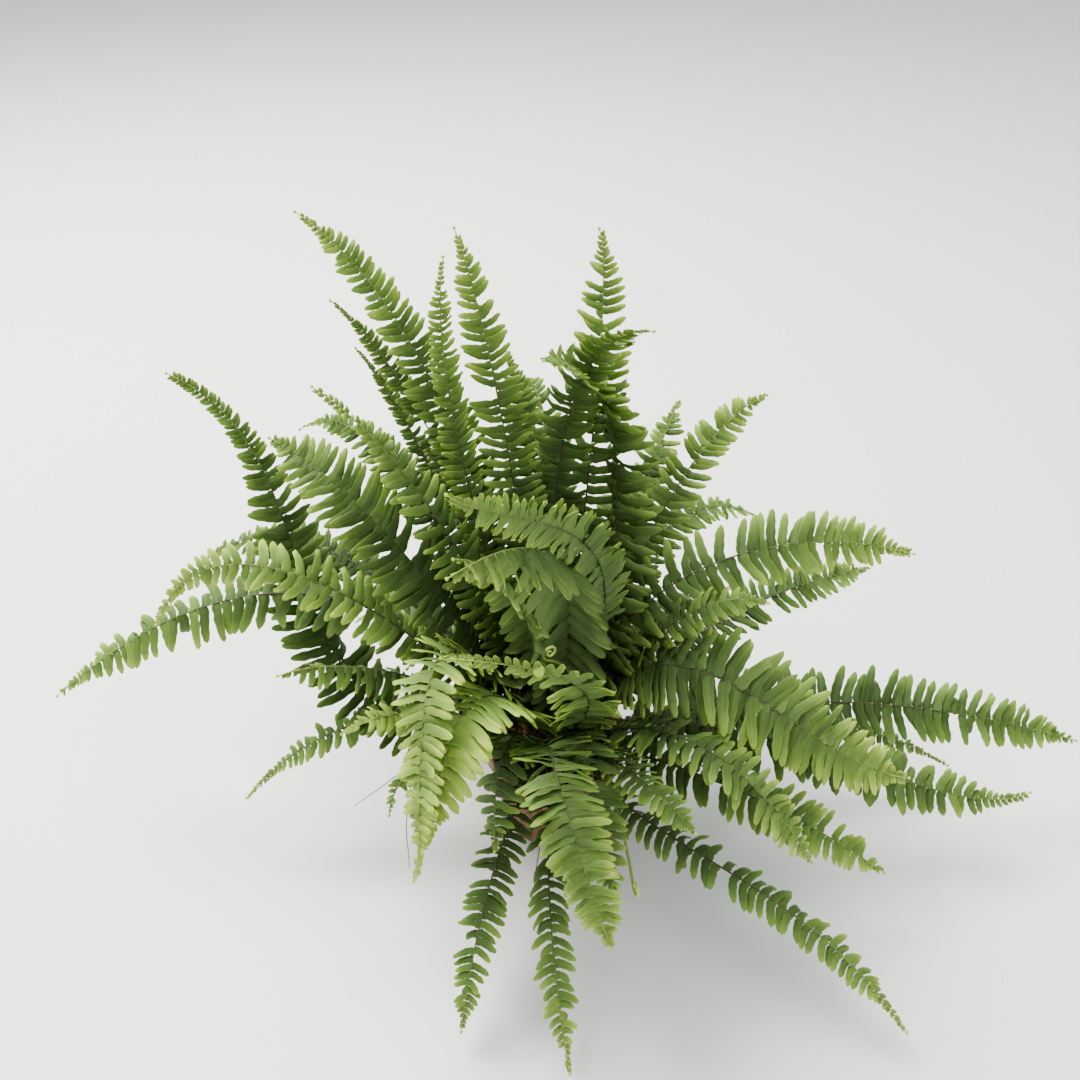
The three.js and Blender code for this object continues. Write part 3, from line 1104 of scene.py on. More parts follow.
class Patterns:
    """The small shapes that are repeated over the plant."""

    LEAFLETS = 5

    def __init__(self) -> None:
        """Builds the shapes, outside the scene."""
        self.leaflets = bpy.data.collections.new("leaflet_patterns")
        cups = (0.1, 0.18, 0.04, 0.22, 0.12)
        ruffles = (0.05, 0.08, 0.1, 0.06, 0.12)
        for i in range(self.LEAFLETS):
            shape = LeafletShape(cup=cups[i], ruffle=ruffles[i], sickle=0.18 + 0.07 * i)
            for mirrored in (False, True):
                name = f"leaflet_{2 * i + mirrored:02d}"
                self.leaflets.objects.link(bpy.data.objects.new(name, shape.mesh(name, mirrored, i)))
        self.bud = bpy.data.objects.new("bud", bud_mesh("bud"))
        self.scale = bpy.data.objects.new("papery_scale", scale_mesh("papery_scale"))

    def clear(self) -> None:
        """Removes the shapes once everything is built."""
        for item in [*self.leaflets.objects, self.bud, self.scale]:
            bpy.data.objects.remove(item)
        bpy.data.collections.remove(self.leaflets)


# ---------------------------------------------------------------- the trees that grow things
class Role(Enum):
    """What a guide point stands for."""

    MIDRIB = 0
    LEAFLET = 1
    BUD = 2


class StalkTree(ShapeTree):
    """Sweeps a stalk along a guide line and sets papery scales on it."""

    INPUTS = [
        ("Sides", "Int"),
        ("Scale shape", "Object"),
        ("Scale spacing", "Float"),
        ("Scale length", "Float"),
        ("Stalk finish", "Material"),
        ("Seed", "Int"),
    ]
    LENGTH_SEED = 7  # the scales' lengths run the same on every stalk

    def __init__(self, name: str = "stalk", more: list[tuple[str, str]] | None = None) -> None:
        """Builds the tree.

        Args:
            name: The tree's name.
            more: Further named inputs.
        """
        super().__init__(name, self.INPUTS + (more or []))
        line = self.add("GeometryNodeMeshToCurve", {"Mesh": self.given["Geometry"]}).outputs[0]
        self.stalk = self.swept(line)
        self.chaff = self.scaly(line)

    def swept(self, line: Any) -> bpy.types.NodeSocket:
        """The stalk, as thick as the guide says.

        Args:
            line: The output with the guide line.

        Returns:
            The output with the stalk.
        """
        circle = {"Resolution": self.given["Sides"], "Radius": 1.0}
        ring = self.add("GeometryNodeCurvePrimitiveCircle", circle)
        inputs = {
            "Curve": line,
            "Profile Curve": ring.outputs[0],
            "Scale": self.read("thick"),
            "Fill Caps": True,
        }
        tube = self.add("GeometryNodeCurveToMesh", inputs).outputs[0]
        smooth = self.add("GeometryNodeSetShadeSmooth", {"Geometry": tube}).outputs[0]
        return self.dressed(smooth, "Stalk finish")

    def scaly(self, line: Any) -> bpy.types.NodeSocket:
        """Papery scales round the stalk, thick at its foot.

        Args:
            line: The output with the guide line.

        Returns:
            The output with the scales.
        """
        inputs = {"Curve": line, "Length": self.given["Scale spacing"]}
        spots = self.add("GeometryNodeCurveToPoints", inputs, mode="LENGTH").outputs
        facing = self.spun(spots["Rotation"], {"Z": self.random(0.0, 2 * math.pi, 0.0)})
        numbers = {0: self.random(0.0, 1.0, 1.0), 1: self.read("scaly")}
        kept = self.add("FunctionNodeCompare", numbers, operation="LESS_THAN")
        share = self.add("FunctionNodeRandomValue", {2: 0.5, 3: 1.2, "Seed": self.LENGTH_SEED}).outputs[1]
        length = self.math("MULTIPLY", self.given["Scale length"], share)
        placed = self.copies(spots["Points"], kept.outputs[0], self.shape_of("Scale shape"), facing, length)
        return self.dressed(self.real(placed), "Stalk finish")


class FrondTree(StalkTree):
    """Sets leaflets and a bud along a swept midrib, and bends each leaflet to its underside."""

    def __init__(self) -> None:
        """Builds the tree."""
        more = [("Leaflet shapes", "Collection"), ("Bud shape", "Object"), ("Leaflet finish", "Material")]
        super().__init__("frond", more)
        self.finish(self.stalk, self.chaff, self.leaflets(), self.buds())

    def of_role(self, role: Role) -> bpy.types.NodeSocket:
        """The output that picks the guide points of one role."""
        inputs = {2: self.read("role", "INT"), 3: role.value}
        return self.add("FunctionNodeCompare", inputs, data_type="INT", operation="EQUAL").outputs[0]

    def placed(self, role: Role, shape: Any, **more: Any) -> bpy.types.NodeSocket:
        """Copies of a shape on the guide points of one role.

        Args:
            role: The role.
            shape: The output with the shape, or with the shapes to choose from.
            **more: Further inputs of the node that places them.

        Returns:
            The output with the copies, made real.
        """
        axes = {0: self.read("grow", "FLOAT_VECTOR"), 1: self.read("face", "FLOAT_VECTOR")}
        facing = self.add("FunctionNodeAxesToRotation", axes, primary_axis="X", secondary_axis="Z").outputs[0]
        size = self.read("size", "FLOAT_VECTOR")
        return self.real(self.copies(self.given["Geometry"], self.of_role(role), shape, facing, size, **more))

    def leaflets(self) -> bpy.types.NodeSocket:
        """The leaflets.

        Returns:
            The output with them.
        """
        inputs = {"Collection": self.given["Leaflet shapes"], "Separate Children": True, "Reset Children": True}
        shapes = self.add("GeometryNodeCollectionInfo", inputs).outputs[0]
        flat = self.placed(Role.LEAFLET, shapes, Pick_Instance=True, Instance_Index=self.read("pattern", "INT"))
        bent = self.add("GeometryNodeSetPosition", {"Geometry": flat, "Position": self.bent_place()}).outputs[0]
        return self.dressed(bent, "Leaflet finish")

    def bent_place(self) -> bpy.types.NodeSocket:
        """Where each point of a leaflet goes when its midrib bends into an arc.

        Returns:
            The output with the place.
        """
        place = self.add("GeometryNodeInputPosition").outputs[0]
        seat, grow = self.read("seat", "FLOAT_VECTOR"), self.read("grow", "FLOAT_VECTOR")
        face, bend = self.read("face", "FLOAT_VECTOR"), self.read("bend")
        along, length = self.read("along"), self.read("long")
        run = self.scaled(grow, self.math("MULTIPLY", length, along))
        off = self.vector("SUBTRACT", self.vector("SUBTRACT", place, seat), run)
        rise = self.vector("DOT_PRODUCT", off, face)
        flat = self.vector("SUBTRACT", off, self.scaled(face, rise))
        angle = self.math("MULTIPLY", bend, along)
        sine, cosine = self.math("SINE", angle), self.math("COSINE", angle)
        arc = self.math("DIVIDE", length, bend)
        forward = self.math("MULTIPLY", arc, sine)
        drop = self.math("MULTIPLY", arc, self.math("SUBTRACT", cosine, 1.0))
        forward = self.math("ADD", forward, self.math("MULTIPLY", rise, sine))
        drop = self.math("ADD", drop, self.math("MULTIPLY", rise, cosine))
        moved = self.vector("ADD", self.scaled(grow, forward), self.scaled(face, drop))
        return self.vector("ADD", self.vector("ADD", seat, flat), moved)

    def buds(self) -> bpy.types.NodeSocket:
        """The output with the bud at the tip."""
        return self.dressed(self.placed(Role.BUD, self.shape_of("Bud shape")), "Leaflet finish")


class ScatterTree(ShapeTree):
    """Scatters a small shape over a surface, and keeps the surface."""

    INPUTS = [
        ("Shape", "Object"),
        ("Per square metre", "Float"),
        ("Least size", "Float"),
        ("Greatest size", "Float"),
        ("Lean", "Float"),
        ("Lowest", "Float"),
        ("Finish", "Material"),
        ("Seed", "Int"),
    ]

    def __init__(self) -> None:
        """Builds the tree."""
        super().__init__("scatter", self.INPUTS)
        surface, seed = self.given["Geometry"], self.given["Seed"]
        inputs = {"Mesh": surface, "Density": self.given["Per square metre"], "Seed": seed}
        spots = self.add("GeometryNodeDistributePointsOnFaces", inputs).outputs
        lean = self.given["Lean"]
        low = self.math("MULTIPLY", lean, -1.0)
        angles = {
            "X": self.random(low, lean, 1.0),
            "Y": self.random(low, lean, 2.0),
            "Z": self.random(0.0, 2 * math.pi, 3.0),
        }
        facing = self.spun(spots["Rotation"], angles)
        size = self.random(self.given["Least size"], self.given["Greatest size"], 4.0)
        place = self.add("GeometryNodeInputPosition").outputs[0]
        height = self.add("ShaderNodeSeparateXYZ", {0: place}).outputs["Z"]
        high = self.add("FunctionNodeCompare", {0: height, 1: self.given["Lowest"]}, operation="GREATER_THAN")
        placed = self.copies(spots["Points"], high.outputs[0], self.shape_of("Shape"), facing, size)
        self.finish(self.dressed(self.real(self.joined(surface, placed)), "Finish"))


# ---------------------------------------------------------------- fronds
def stalk_inputs(
    patterns: Patterns, finish: bpy.types.Material, seed: int, sides: int, spacing: float, length: float
) -> dict[str, Any]:
    """What a stalk's tree takes.

    Args:
        patterns: The shapes that are repeated.
        finish: The stalk's material.
        seed: The seed of its scales.
        sides: How many sides the stalk has.
        spacing: The distance from one scale to the next.
        length: The length of a scale.

    Returns:
        The values by their input.
    """
    return {
        "Sides": sides,
        "Scale shape": patterns.scale,
        "Scale spacing": spacing,
        "Scale length": length,
        "Stalk finish": finish,
        "Seed": seed,
    }


class GuidePoints:
    """Collects the points of a frond's guide mesh, each with all its values."""

    VECTORS = ("seat", "grow", "face", "size")
    COUNTS = ("role", "pattern")
    NUMBERS = ("long", "bend", "fresh", "tint", "thick", "scaly")

    def __init__(self) -> None:
        """Starts with no points."""
        self.rows: dict[str, list[Array]] = {name: [] for name in self.VECTORS + self.COUNTS + self.NUMBERS}

    def add(self, role: Role, at: Stations, **values: Any) -> None:
        """Adds a batch of points. A value that isn't given is nought, and a direction is the midrib's own.

        Args:
            role: What stands on the points.
            at: Where they are on the midrib.
            values: The values, one for each point or one for all of them.
        """
        given = {"seat": at.point, "grow": at.along, "face": at.face, "role": role.value} | values
        count = len(at.point)
        for name, rows in self.rows.items():
            shape = (count, 3) if name in self.VECTORS else (count,)
            rows.append(np.broadcast_to(given.get(name, 0.0), shape))

    def mesh(self, name: str, edges: int) -> bpy.types.Mesh:
        """The guide mesh.

        Args:
            name: The mesh's name.
            edges: How many edges join its first points into the midrib's line.

        Returns:
            The mesh with its attributes.
        """
        values = {key: np.concatenate(rows) for key, rows in self.rows.items()}
        mesh = line_mesh(name, values["seat"], edges)
        for key in self.VECTORS:
            give_values(mesh, key, values[key], "FLOAT_VECTOR")
        for key in self.COUNTS:
            give_values(mesh, key, values[key].astype(int), "INT")
        for key in self.NUMBERS:
            give_values(mesh, key, values[key])
        return mesh


@dataclass(frozen=True)
class Frond:
    """One frond: its place on the crown, its arch, its width and how its leaflets hang.

    A place is a bearing in degrees, and millimetres past and above the pot's rim. The full width is
    in millimetres and the twist in degrees.
    """

    name: str
    seat: Seat
    places: list[Place]
    width: float
    twist: float
    age: Age
    habit: Habit

    FOOT = 1.3 * MM
    SIDES = 7
    SCALE_SPACING = 1.6 * MM
    SCALE_LENGTH = 2.6 * MM
    BARE = 0.07
    LINE_POINTS = 48
    BLADE_END = 0.988
    TINY = 0.42
    LEAST = 3.0 * MM
    BASE_BREADTH = 2.7 * MM
    BREADTH_SHARE = 0.17
    LOST = 0.035
    CURLED = 0.06
    BUD = 2.4 * MM
    KNOB_SHARE = 0.76

    @property
    def node(self) -> str:
        """The CAD node that it stands for."""
        return "frond_" + self.name

    def outline(self, blade: Array | float) -> Any:
        """How long the leaflets are along the blade.

        Args:
            blade: The place along the blade, 0 to 1.

        Returns:
            Their length as a share of half the blade's width.
        """
        share = np.asarray(blade, dtype=float)
        fill = 0.7 + 0.3 * np.minimum(1.0, share / 0.16)
        taper = 1 - 0.74 * np.clip((share - 0.36) / 0.64, 0.0, 1.0) ** 2.3
        tail = self.habit.value.tail
        fade = np.clip((share - 1 + 1.4 * tail) / tail, 0.0, 1.0)
        full = self.habit.value.full * fill * taper
        return full * (1 - (1 - self.TINY) * fade * fade * (3 - 2 * fade))

    def seats(self, arch: Arch, sign: int, rng: np.random.Generator) -> Array:
        """Where the leaflets of one side stand.

        Args:
            arch: The midrib.
            sign: The side, -1 or 1.
            rng: The random source.

        Returns:
            Shares of the midrib's length.
        """
        found = []
        share = self.BARE + (0.006 if sign > 0 else 0.02)
        while share < self.BLADE_END:
            blade = (share - self.BARE) / (1 - self.BARE)
            found.append(share)
            length = max(self.width / 2 * MM * float(self.outline(blade)), self.LEAST)
            pitch = self.breadth(length) / self.habit.value.dense
            share += pitch * rng.uniform(0.93, 1.07) / arch.length
        return np.array(found)

    def breadth(self, length: Any) -> Any:
        """A leaflet's width for its length."""
        return self.habit.value.stout * (self.BASE_BREADTH + self.BREADTH_SHARE * length)

    def guide(self, seed: int) -> bpy.types.Mesh:
        """The guide mesh: the midrib's line, and one loose point for each leaflet and bud.

        Args:
            seed: The seed of everything that varies.

        Returns:
            The guide with its attributes.
        """
        rng = np.random.default_rng(seed)
        arch = Arch(self.seat, self.places, self.FOOT)
        shares = np.linspace(0, 1, self.LINE_POINTS)
        line = arch.stations(shares, self.twist)
        thick = self.FOOT * (0.86 - 0.56 * shares**0.8)
        thick[0] = self.FOOT * 0.95
        fresh = np.clip(shares**1.5 * 0.9 + self.age.fresh * 0.35 - 0.05, 0, 1)
        scaly = np.clip(1.1 - 1.5 * shares, 0.12, 1.0)
        points = GuidePoints()
        points.add(Role.MIDRIB, line, bend=1, fresh=fresh, thick=thick, scaly=scaly)
        for sign in (-1, 1):
            self.add_side(points, arch, sign, rng)
        knob = self.habit.value.knob
        buds = {1.0: self.BUD} | ({self.KNOB_SHARE: knob} if knob else {})
        tips = arch.stations(np.array(list(buds)), self.twist)
        points.add(Role.BUD, tips, size=np.outer(list(buds.values()), np.ones(3)), bend=1, fresh=1)
        return points.mesh(self.node + "_guide", self.LINE_POINTS - 1)

    def add_side(self, points: GuidePoints, arch: Arch, sign: int, rng: np.random.Generator) -> None:
        """Adds the leaflets of one side.

        Args:
            points: The guide points so far.
            arch: The midrib.
            sign: The side, -1 or 1.
            rng: The random source.
        """
        shares = self.seats(arch, sign, rng)
        shares = shares[rng.uniform(size=len(shares)) > self.LOST]
        count = len(shares)
        blade = (shares - self.BARE) / (1 - self.BARE)
        at = arch.stations(shares, self.twist)
        length = self.width / 2 * MM * self.outline(blade) * rng.uniform(0.9, 1.06, count)
        length = np.maximum(length, self.LEAST * (1 - 0.4 * blade**8))
        lean = np.radians(86 - 14 * blade + rng.normal(0, 6.5, count))
        grow = sign * at.side * np.sin(lean)[:, None] + at.along * np.cos(lean)[:, None]
        grow = unit(grow + rng.normal(0.06, 0.12, count)[:, None] * at.face)
        hang = self.habit.value.hang * (0.6 + 0.4 * self.outline(blade))
        hang = hang * rng.normal(1, 0.2, count) + rng.normal(0, 0.05, count)
        grow = unit(grow - hang[:, None] * UP)
        face = unit(at.face - (at.face * grow).sum(-1, keepdims=True) * grow)
        face = turned_about(face, grow, np.radians(sign * 11 + rng.normal(0, 10, count)))
        bend = self.habit.value.bend * (0.5 + 0.5 * self.outline(blade)) + rng.normal(0, 0.17, count)
        curled = rng.uniform(size=count) < self.CURLED
        bend = np.where(curled, bend + rng.uniform(0.5, 1.6, count), bend)
        bend = np.where(np.abs(bend) < 0.05, 0.05, np.clip(bend, -0.5, 2.4))
        breadth = self.breadth(length)
        points.add(
            Role.LEAFLET,
            at,
            grow=grow,
            face=face,
            size=np.stack([length, breadth, breadth], axis=1),
            long=length,
            pattern=2 * rng.integers(0, Patterns.LEAFLETS, count) + (0 if sign > 0 else 1),
            bend=bend,
            fresh=self.age.fresh - 0.1 + 0.56 * blade**2.2 + 0.12 * blade,
            tint=rng.normal(0, 0.07, count),
        )

    def build(
        self, tree: FrondTree, patterns: Patterns, finishes: dict[str, Any], seed: int
    ) -> bpy.types.Object:
        """Builds the frond.

        Args:
            tree: The tree that sets its leaflets.
            patterns: The shapes that are repeated.
            finishes: The leaflet and stalk materials.
            seed: The seed of everything that varies.

        Returns:
            The piece, in place of its CAD node.
        """
        sizes = (self.SIDES, self.SCALE_SPACING, self.SCALE_LENGTH)
        values = stalk_inputs(patterns, finishes["stalk"], seed, *sizes) | {
            "Leaflet shapes": patterns.leaflets,
            "Bud shape": patterns.bud,
            "Leaflet finish": finishes["leaflet"],
        }
        piece = tree.made("leafy_" + self.node, self.guide(seed), values)
        return settle(piece, [self.node])


def settle(piece: bpy.types.Object, nodes: list[str]) -> bpy.types.Object:
    """Puts a piece on the plant's body in place of its CAD nodes.

    Args:
        piece: The piece.
        nodes: The CAD nodes that it stands for.

    Returns:
        The piece.
    """
    for name in list(piece.data.attributes.keys()):
        if name in ("seat", "grow", "face", "size", "long", "bend", "role", "pattern", "thick", "scaly"):
            piece.data.attributes.remove(piece.data.attributes[name])
    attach(piece, "root")
    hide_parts(*nodes)
    LOG.info("%s: %d faces, for %s", piece.name, len(piece.data.polygons), ", ".join(nodes))
    return piece


INNER, MIDDLE, LOWER, OUTER = Seat
MATURE, GROWING, YOUNG = Age
PLAIN, BROAD, CROWDED, STOUT, OPEN, CHAINED, HANGING, RIBBED, CURLY, WISPY, SPARSE = Habit
FRONDS = [
    Frond("left_arched", OUTER, [(175, 110, 56), (161, 170, 170), (160, 255, 275)], 60, -50, MATURE, CHAINED),
    Frond("left_longest", LOWER, [(172, 142, 125), (177, 355, 20)], 62, -45, GROWING, CURLY),
    Frond("left_pale", LOWER, [(194, 128, 202), (184, 237, 134)], 44, -50, YOUNG, WISPY),
    Frond("left_broad", MIDDLE, [(185, 55, 200), (172, 145, 265)], 68, -50, MATURE, CROWDED),
    Frond("left_curled", INNER, [(176, 25, 210), (167, 115, 300)], 46, -48, GROWING, WISPY),
    Frond("rear_left_tall", MIDDLE, [(140, 50, 270), (147, 160, 395)], 42, -40, GROWING, OPEN),
    Frond("top_left", INNER, [(150, 20, 245), (147, 30, 390)], 30, -40, GROWING, OPEN),
    Frond("top_long", INNER, [(124, 10, 260), (125, 65, 390)], 44, -30, GROWING, OPEN),
    Frond("top_right", INNER, [(68, 20, 285), (74, 45, 390)], 54, 0, GROWING, OPEN),
    Frond("nodding_right", INNER, [(83, -5, 255), (0, 0, 360)], 46, 0, MATURE, RIBBED),
    Frond("nodding_left", INNER, [(24, -15, 165), (51, 2, 265), (229, -45, 345)], 66, 0, MATURE, RIBBED),
    Frond("front_nodding", INNER, [(315, -15, 190), (262, 30, 275), (246, 95, 330)], 40, 0, GROWING, OPEN),
    Frond("front_shaded", INNER, [(271, 0, 215), (247, 105, 280)], 72, 0, MATURE, HANGING),
    Frond("right_rear_tall", MIDDLE, [(30, 40, 200), (32, 130, 260)], 44, 50, GROWING, OPEN),
    Frond("right_bright", MIDDLE, [(0, 15, 145), (10, 120, 170), (8, 220, 155)], 60, 52, GROWING, OPEN),
    Frond("right_broad", LOWER, [(332, 40, 118), (337, 130, 85), (341, 215, 45)], 72, 42, GROWING, CROWDED),
    Frond("right_longest", OUTER, [(0, 165, 35), (0, 375, -10)], 58, 48, MATURE, OPEN),
    Frond("right_curly", OUTER, [(350, 105, 25), (351, 235, -12), (353, 325, -20)], 60, 40, MATURE, CURLY),
    Frond("right_slip", OUTER, [(7, 150, -8), (3, 285, -60)], 30, 35, MATURE, CURLY),
    Frond("right_front", OUTER, [(330, 100, 20), (334, 215, -25)], 46, 30, GROWING, OPEN),
    Frond("right_front_upper", LOWER, [(315, 80, 90), (323, 170, 10)], 46, 0, GROWING, OPEN),
    Frond("right_front_long", LOWER, [(306, 65, 6), (315, 165, -10), (318, 270, -70)], 38, 10, GROWING, CURLY),
    Frond("front_bright", MIDDLE, [(225, 50, 155), (239, 115, 120), (243, 150, 55)], 44, 0, YOUNG, STOUT),
    Frond("front_bright_low", MIDDLE, [(239, 42, 125), (241, 95, 118), (242, 130, 65)], 62, 0, YOUNG, STOUT),
    Frond("front_centre", LOWER, [(270, 90, 110), (279, 160, 25)], 52, 0, GROWING, CROWDED),
    Frond("front_inner", OUTER, [(281, 35, 85), (282, 90, 60), (282, 125, 25)], 44, 0, MATURE, BROAD),
    Frond("front_slant", LOWER, [(293, 60, 80), (300, 125, 70)], 40, 0, MATURE, BROAD),
    Frond("front_long", OUTER, [(268, 90, -10), (272, 185, -80)], 38, 0, GROWING, CURLY),
    Frond("front_left_long", OUTER, [(251, 80, -5), (253, 170, -70)], 34, 0, MATURE, OPEN),
    Frond("front_left_small", OUTER, [(221, 65, 55), (225, 110, 40)], 26, 0, MATURE, OPEN),
    Frond("left_low_thin", OUTER, [(188, 90, 35), (189, 195, -35)], 32, -20, GROWING, WISPY),
    Frond("left_low_pale", OUTER, [(211, 55, 80), (207, 115, 80)], 36, 0, YOUNG, STOUT),
    Frond("young_front", MIDDLE, [(278, 45, 150), (239, 85, 195)], 40, 0, YOUNG, SPARSE),
    Frond("inner_short", INNER, [(215, -40, 120), (230, -30, 165)], 36, 0, MATURE, RIBBED),
    Frond("rear_left_low", LOWER, [(150, 160, 105), (155, 295, 60)], 42, -30, MATURE, PLAIN),
    Frond("rear_left_short", LOWER, [(135, 125, 175), (142, 215, 190)], 42, -30, MATURE, PLAIN),
    Frond("rear_left_thin", MIDDLE, [(129, 90, 205), (139, 170, 315)], 28, -30, MATURE, PLAIN),
    Frond("rear_left_slip", OUTER, [(126, 115, 165), (132, 185, 260)], 24, -30, MATURE, PLAIN),
    Frond("rear_peeping", MIDDLE, [(92, 90, 195), (101, 145, 215)], 40, 0, MATURE, OPEN),
    Frond("rear_right_dim", LOWER, [(53, 90, 115), (43, 190, 100)], 42, 20, MATURE, OPEN),
    Frond("right_rear_low", OUTER, [(26, 110, 65), (26, 255, 65)], 44, 30, MATURE, OPEN),
    Frond("rear_low_right", OUTER, [(52, 100, 30), (50, 200, -45)], 44, 0, MATURE, PLAIN),
    Frond("rear_low_middle", OUTER, [(80, 80, 40), (78, 140, -50)], 44, 0, MATURE, PLAIN),
    Frond("rear_low_left", OUTER, [(108, 80, 45), (112, 150, -45)], 44, 0, MATURE, PLAIN),
    Frond("rear_low_far_left", OUTER, [(134, 100, 30), (136, 210, -40)], 44, 0, MATURE, PLAIN),
    Frond("rear_mid_right", MIDDLE, [(68, 85, 130), (66, 160, 90)], 46, 0, MATURE, PLAIN),
    Frond("rear_centre", MIDDLE, [(100, 50, 190), (104, 105, 270)], 48, 0, MATURE, PLAIN),
    Frond("rear_right_mid", MIDDLE, [(50, 50, 185), (54, 110, 235)], 46, 0, MATURE, PLAIN),
    Frond("right_inner", MIDDLE, [(344, 30, 140), (350, 95, 160)], 46, 20, MATURE, PLAIN),
    Frond("left_inner", MIDDLE, [(206, 70, 120), (203, 150, 140)], 46, -20, MATURE, HANGING),
    Frond("centre_left", INNER, [(245, 0, 180), (230, 45, 240)], 48, 0, MATURE, HANGING),
    Frond("front_left_short", LOWER, [(247, 35, 75), (250, 72, 5)], 48, 0, MATURE, CURLY),
]


# ---------------------------------------------------------------- runners and coiled young fronds
def line_guide(name: str, points: Array, thick: Array, fresh: Array, scaly: Array) -> bpy.types.Mesh:
    """A guide line for a stalk.

    Args:
        name: The mesh's name.
        points: The points along it.
        thick: Its radius at each.
        fresh: How fresh it is at each.
        scaly: How many scales it keeps at each, 0 to 1.

    Returns:
        The guide with its attributes.
    """
    mesh = line_mesh(name, points, len(points) - 1)
    for key, value in (("thick", thick), ("fresh", fresh), ("scaly", scaly)):
        give_values(mesh, key, value)
    return mesh


@dataclass(frozen=True)
class Runner:
    """A thin runner that hangs out of the crown: its name and its places, as a frond's."""

    name: str
    places: list[Place]

    RADIUS = 0.8 * MM
    SIDES = 8
    SCALY = 0.3
    SCALE_SPACING = 2.5 * MM
    SCALE_LENGTH = 1.8 * MM
    SAMPLES = 60

    def line(self) -> Array:
        """The points along it.

        Returns:
            One point to a row.
        """
        points = [CROWN.at(self.places[0][0], Seat.OUTER.value, GAP + self.RADIUS)]
        points += [POT.by_rim(place) for place in self.places]
        ends = [2 * points[0] - points[1], *points, 2 * points[-1] - points[-2]]
        line = []
        for i in range(1, len(ends) - 2):
            a, b, c, d = ends[i - 1 : i + 3]
            for t in np.linspace(0, 1, self.SAMPLES // (len(points) - 1), endpoint=i == len(ends) - 3):
                slope, bow, sway = c - a, 2 * a - 5 * b + 4 * c - d, 3 * b - a - 3 * c + d
                line.append(0.5 * (2 * b + slope * t + bow * t**2 + sway * t**3))
        return np.array(line)

    def build(
        self, tree: ShapeTree, patterns: Patterns, finish: bpy.types.Material, seed: int
    ) -> bpy.types.Object:
        """Builds the runner.

        Args:
            tree: The tree that sweeps stalks.
            patterns: The shapes that are repeated.
            finish: Its material.
            seed: The seed of its scales and wiggles.

        Returns:
            The piece, in place of its CAD node.
        """
        points = self.line()
        rng = np.random.default_rng(seed)
        share = np.linspace(0, 1, len(points))
        for axis in range(3):
            wiggle = np.sin(share * rng.uniform(18, 30) + rng.uniform(0, 6)) * rng.uniform(0.3, 0.6) * MM
            points[:, axis] += wiggle * np.sin(share * math.pi)
        thick = self.RADIUS * (0.72 - 0.3 * share)
        guide = line_guide(self.name + "_guide", points, thick, share, np.full(len(points), self.SCALY))
        values = stalk_inputs(patterns, finish, seed, self.SIDES, self.SCALE_SPACING, self.SCALE_LENGTH)
        piece = tree.made("wiry_" + self.name, guide, values)
        return settle(piece, [self.name])


@dataclass(frozen=True)
class Crozier:
    """A young frond that is still coiled: its name, its seat on the crown and the places of its stalk."""

    name: str
    seat: Seat
    places: list[Place]

    RADIUS = 1.4 * MM
    SIDES = 10
    SCALY = 0.8
    SCALE_SPACING = 0.9 * MM
    SCALE_LENGTH = 2.0 * MM
    COIL_RADIUS = 6.5 * MM
    COIL_PITCH = 3.6 * MM
    TURNS = 1.55
    SAMPLES = 90

    def line(self) -> Array:
        """The points along the stalk and round the coil.

        Returns:
            One point to a row.
        """
        arch = Arch(self.seat, self.places, self.RADIUS)
        stalk = arch.points(np.linspace(0, 1, self.SAMPLES // 2))
        along = arch.stations(np.array([1.0]), 0.0).along[0]
        above = unit(UP - along[2] * along)
        centre = stalk[-1] + above * self.COIL_RADIUS
        turn = np.linspace(0, self.TURNS, self.SAMPLES)[1:, None]
        radius = self.COIL_RADIUS - self.COIL_PITCH * turn
        angle = turn * 2 * math.pi
        coil = centre - above * radius * np.cos(angle) + along * radius * np.sin(angle)
        return np.concatenate([stalk, coil])

    def build(
        self, tree: ShapeTree, patterns: Patterns, finish: bpy.types.Material, seed: int
    ) -> bpy.types.Object:
        """Builds the coiled frond.

        Args:
            tree: The tree that sweeps stalks.
            patterns: The shapes that are repeated.
            finish: Its material.
            seed: The seed of its scales.

        Returns:
            The piece, in place of its CAD node.
        """
        points = self.line()
        share = np.linspace(0, 1, len(points))
        thick = self.RADIUS * np.where(share < 0.33, 0.85, 1.0 - 0.55 * share)
        fresh = np.clip(0.34 + 1.4 * share, 0, 1)
        guide = line_guide(self.name + "_guide", points, thick, fresh, np.full(len(points), self.SCALY))
        values = stalk_inputs(patterns, finish, seed, self.SIDES, self.SCALE_SPACING, self.SCALE_LENGTH)
        piece = tree.made("coiled_" + self.name, guide, values)
        return settle(piece, [self.name])


RUNNERS = [
    Runner("runner_left", [(195, 20, 10), (192, 60, -14), (189, 110, -60)]),
    Runner("runner_left_hanging", [(203, 20, 20), (208, 70, -20), (212, 80, -80)]),
    Runner("runner_front", [(262, 20, 4), (262, 40, -40), (260, 55, -80)]),
]
CROZIERS = [
    Crozier("crozier_front", OUTER, [(292, 35, 45), (290, 100, 0)]),
    Crozier("crozier_centre", INNER, [(290, -25, 90), (262, -5, 130)]),
]


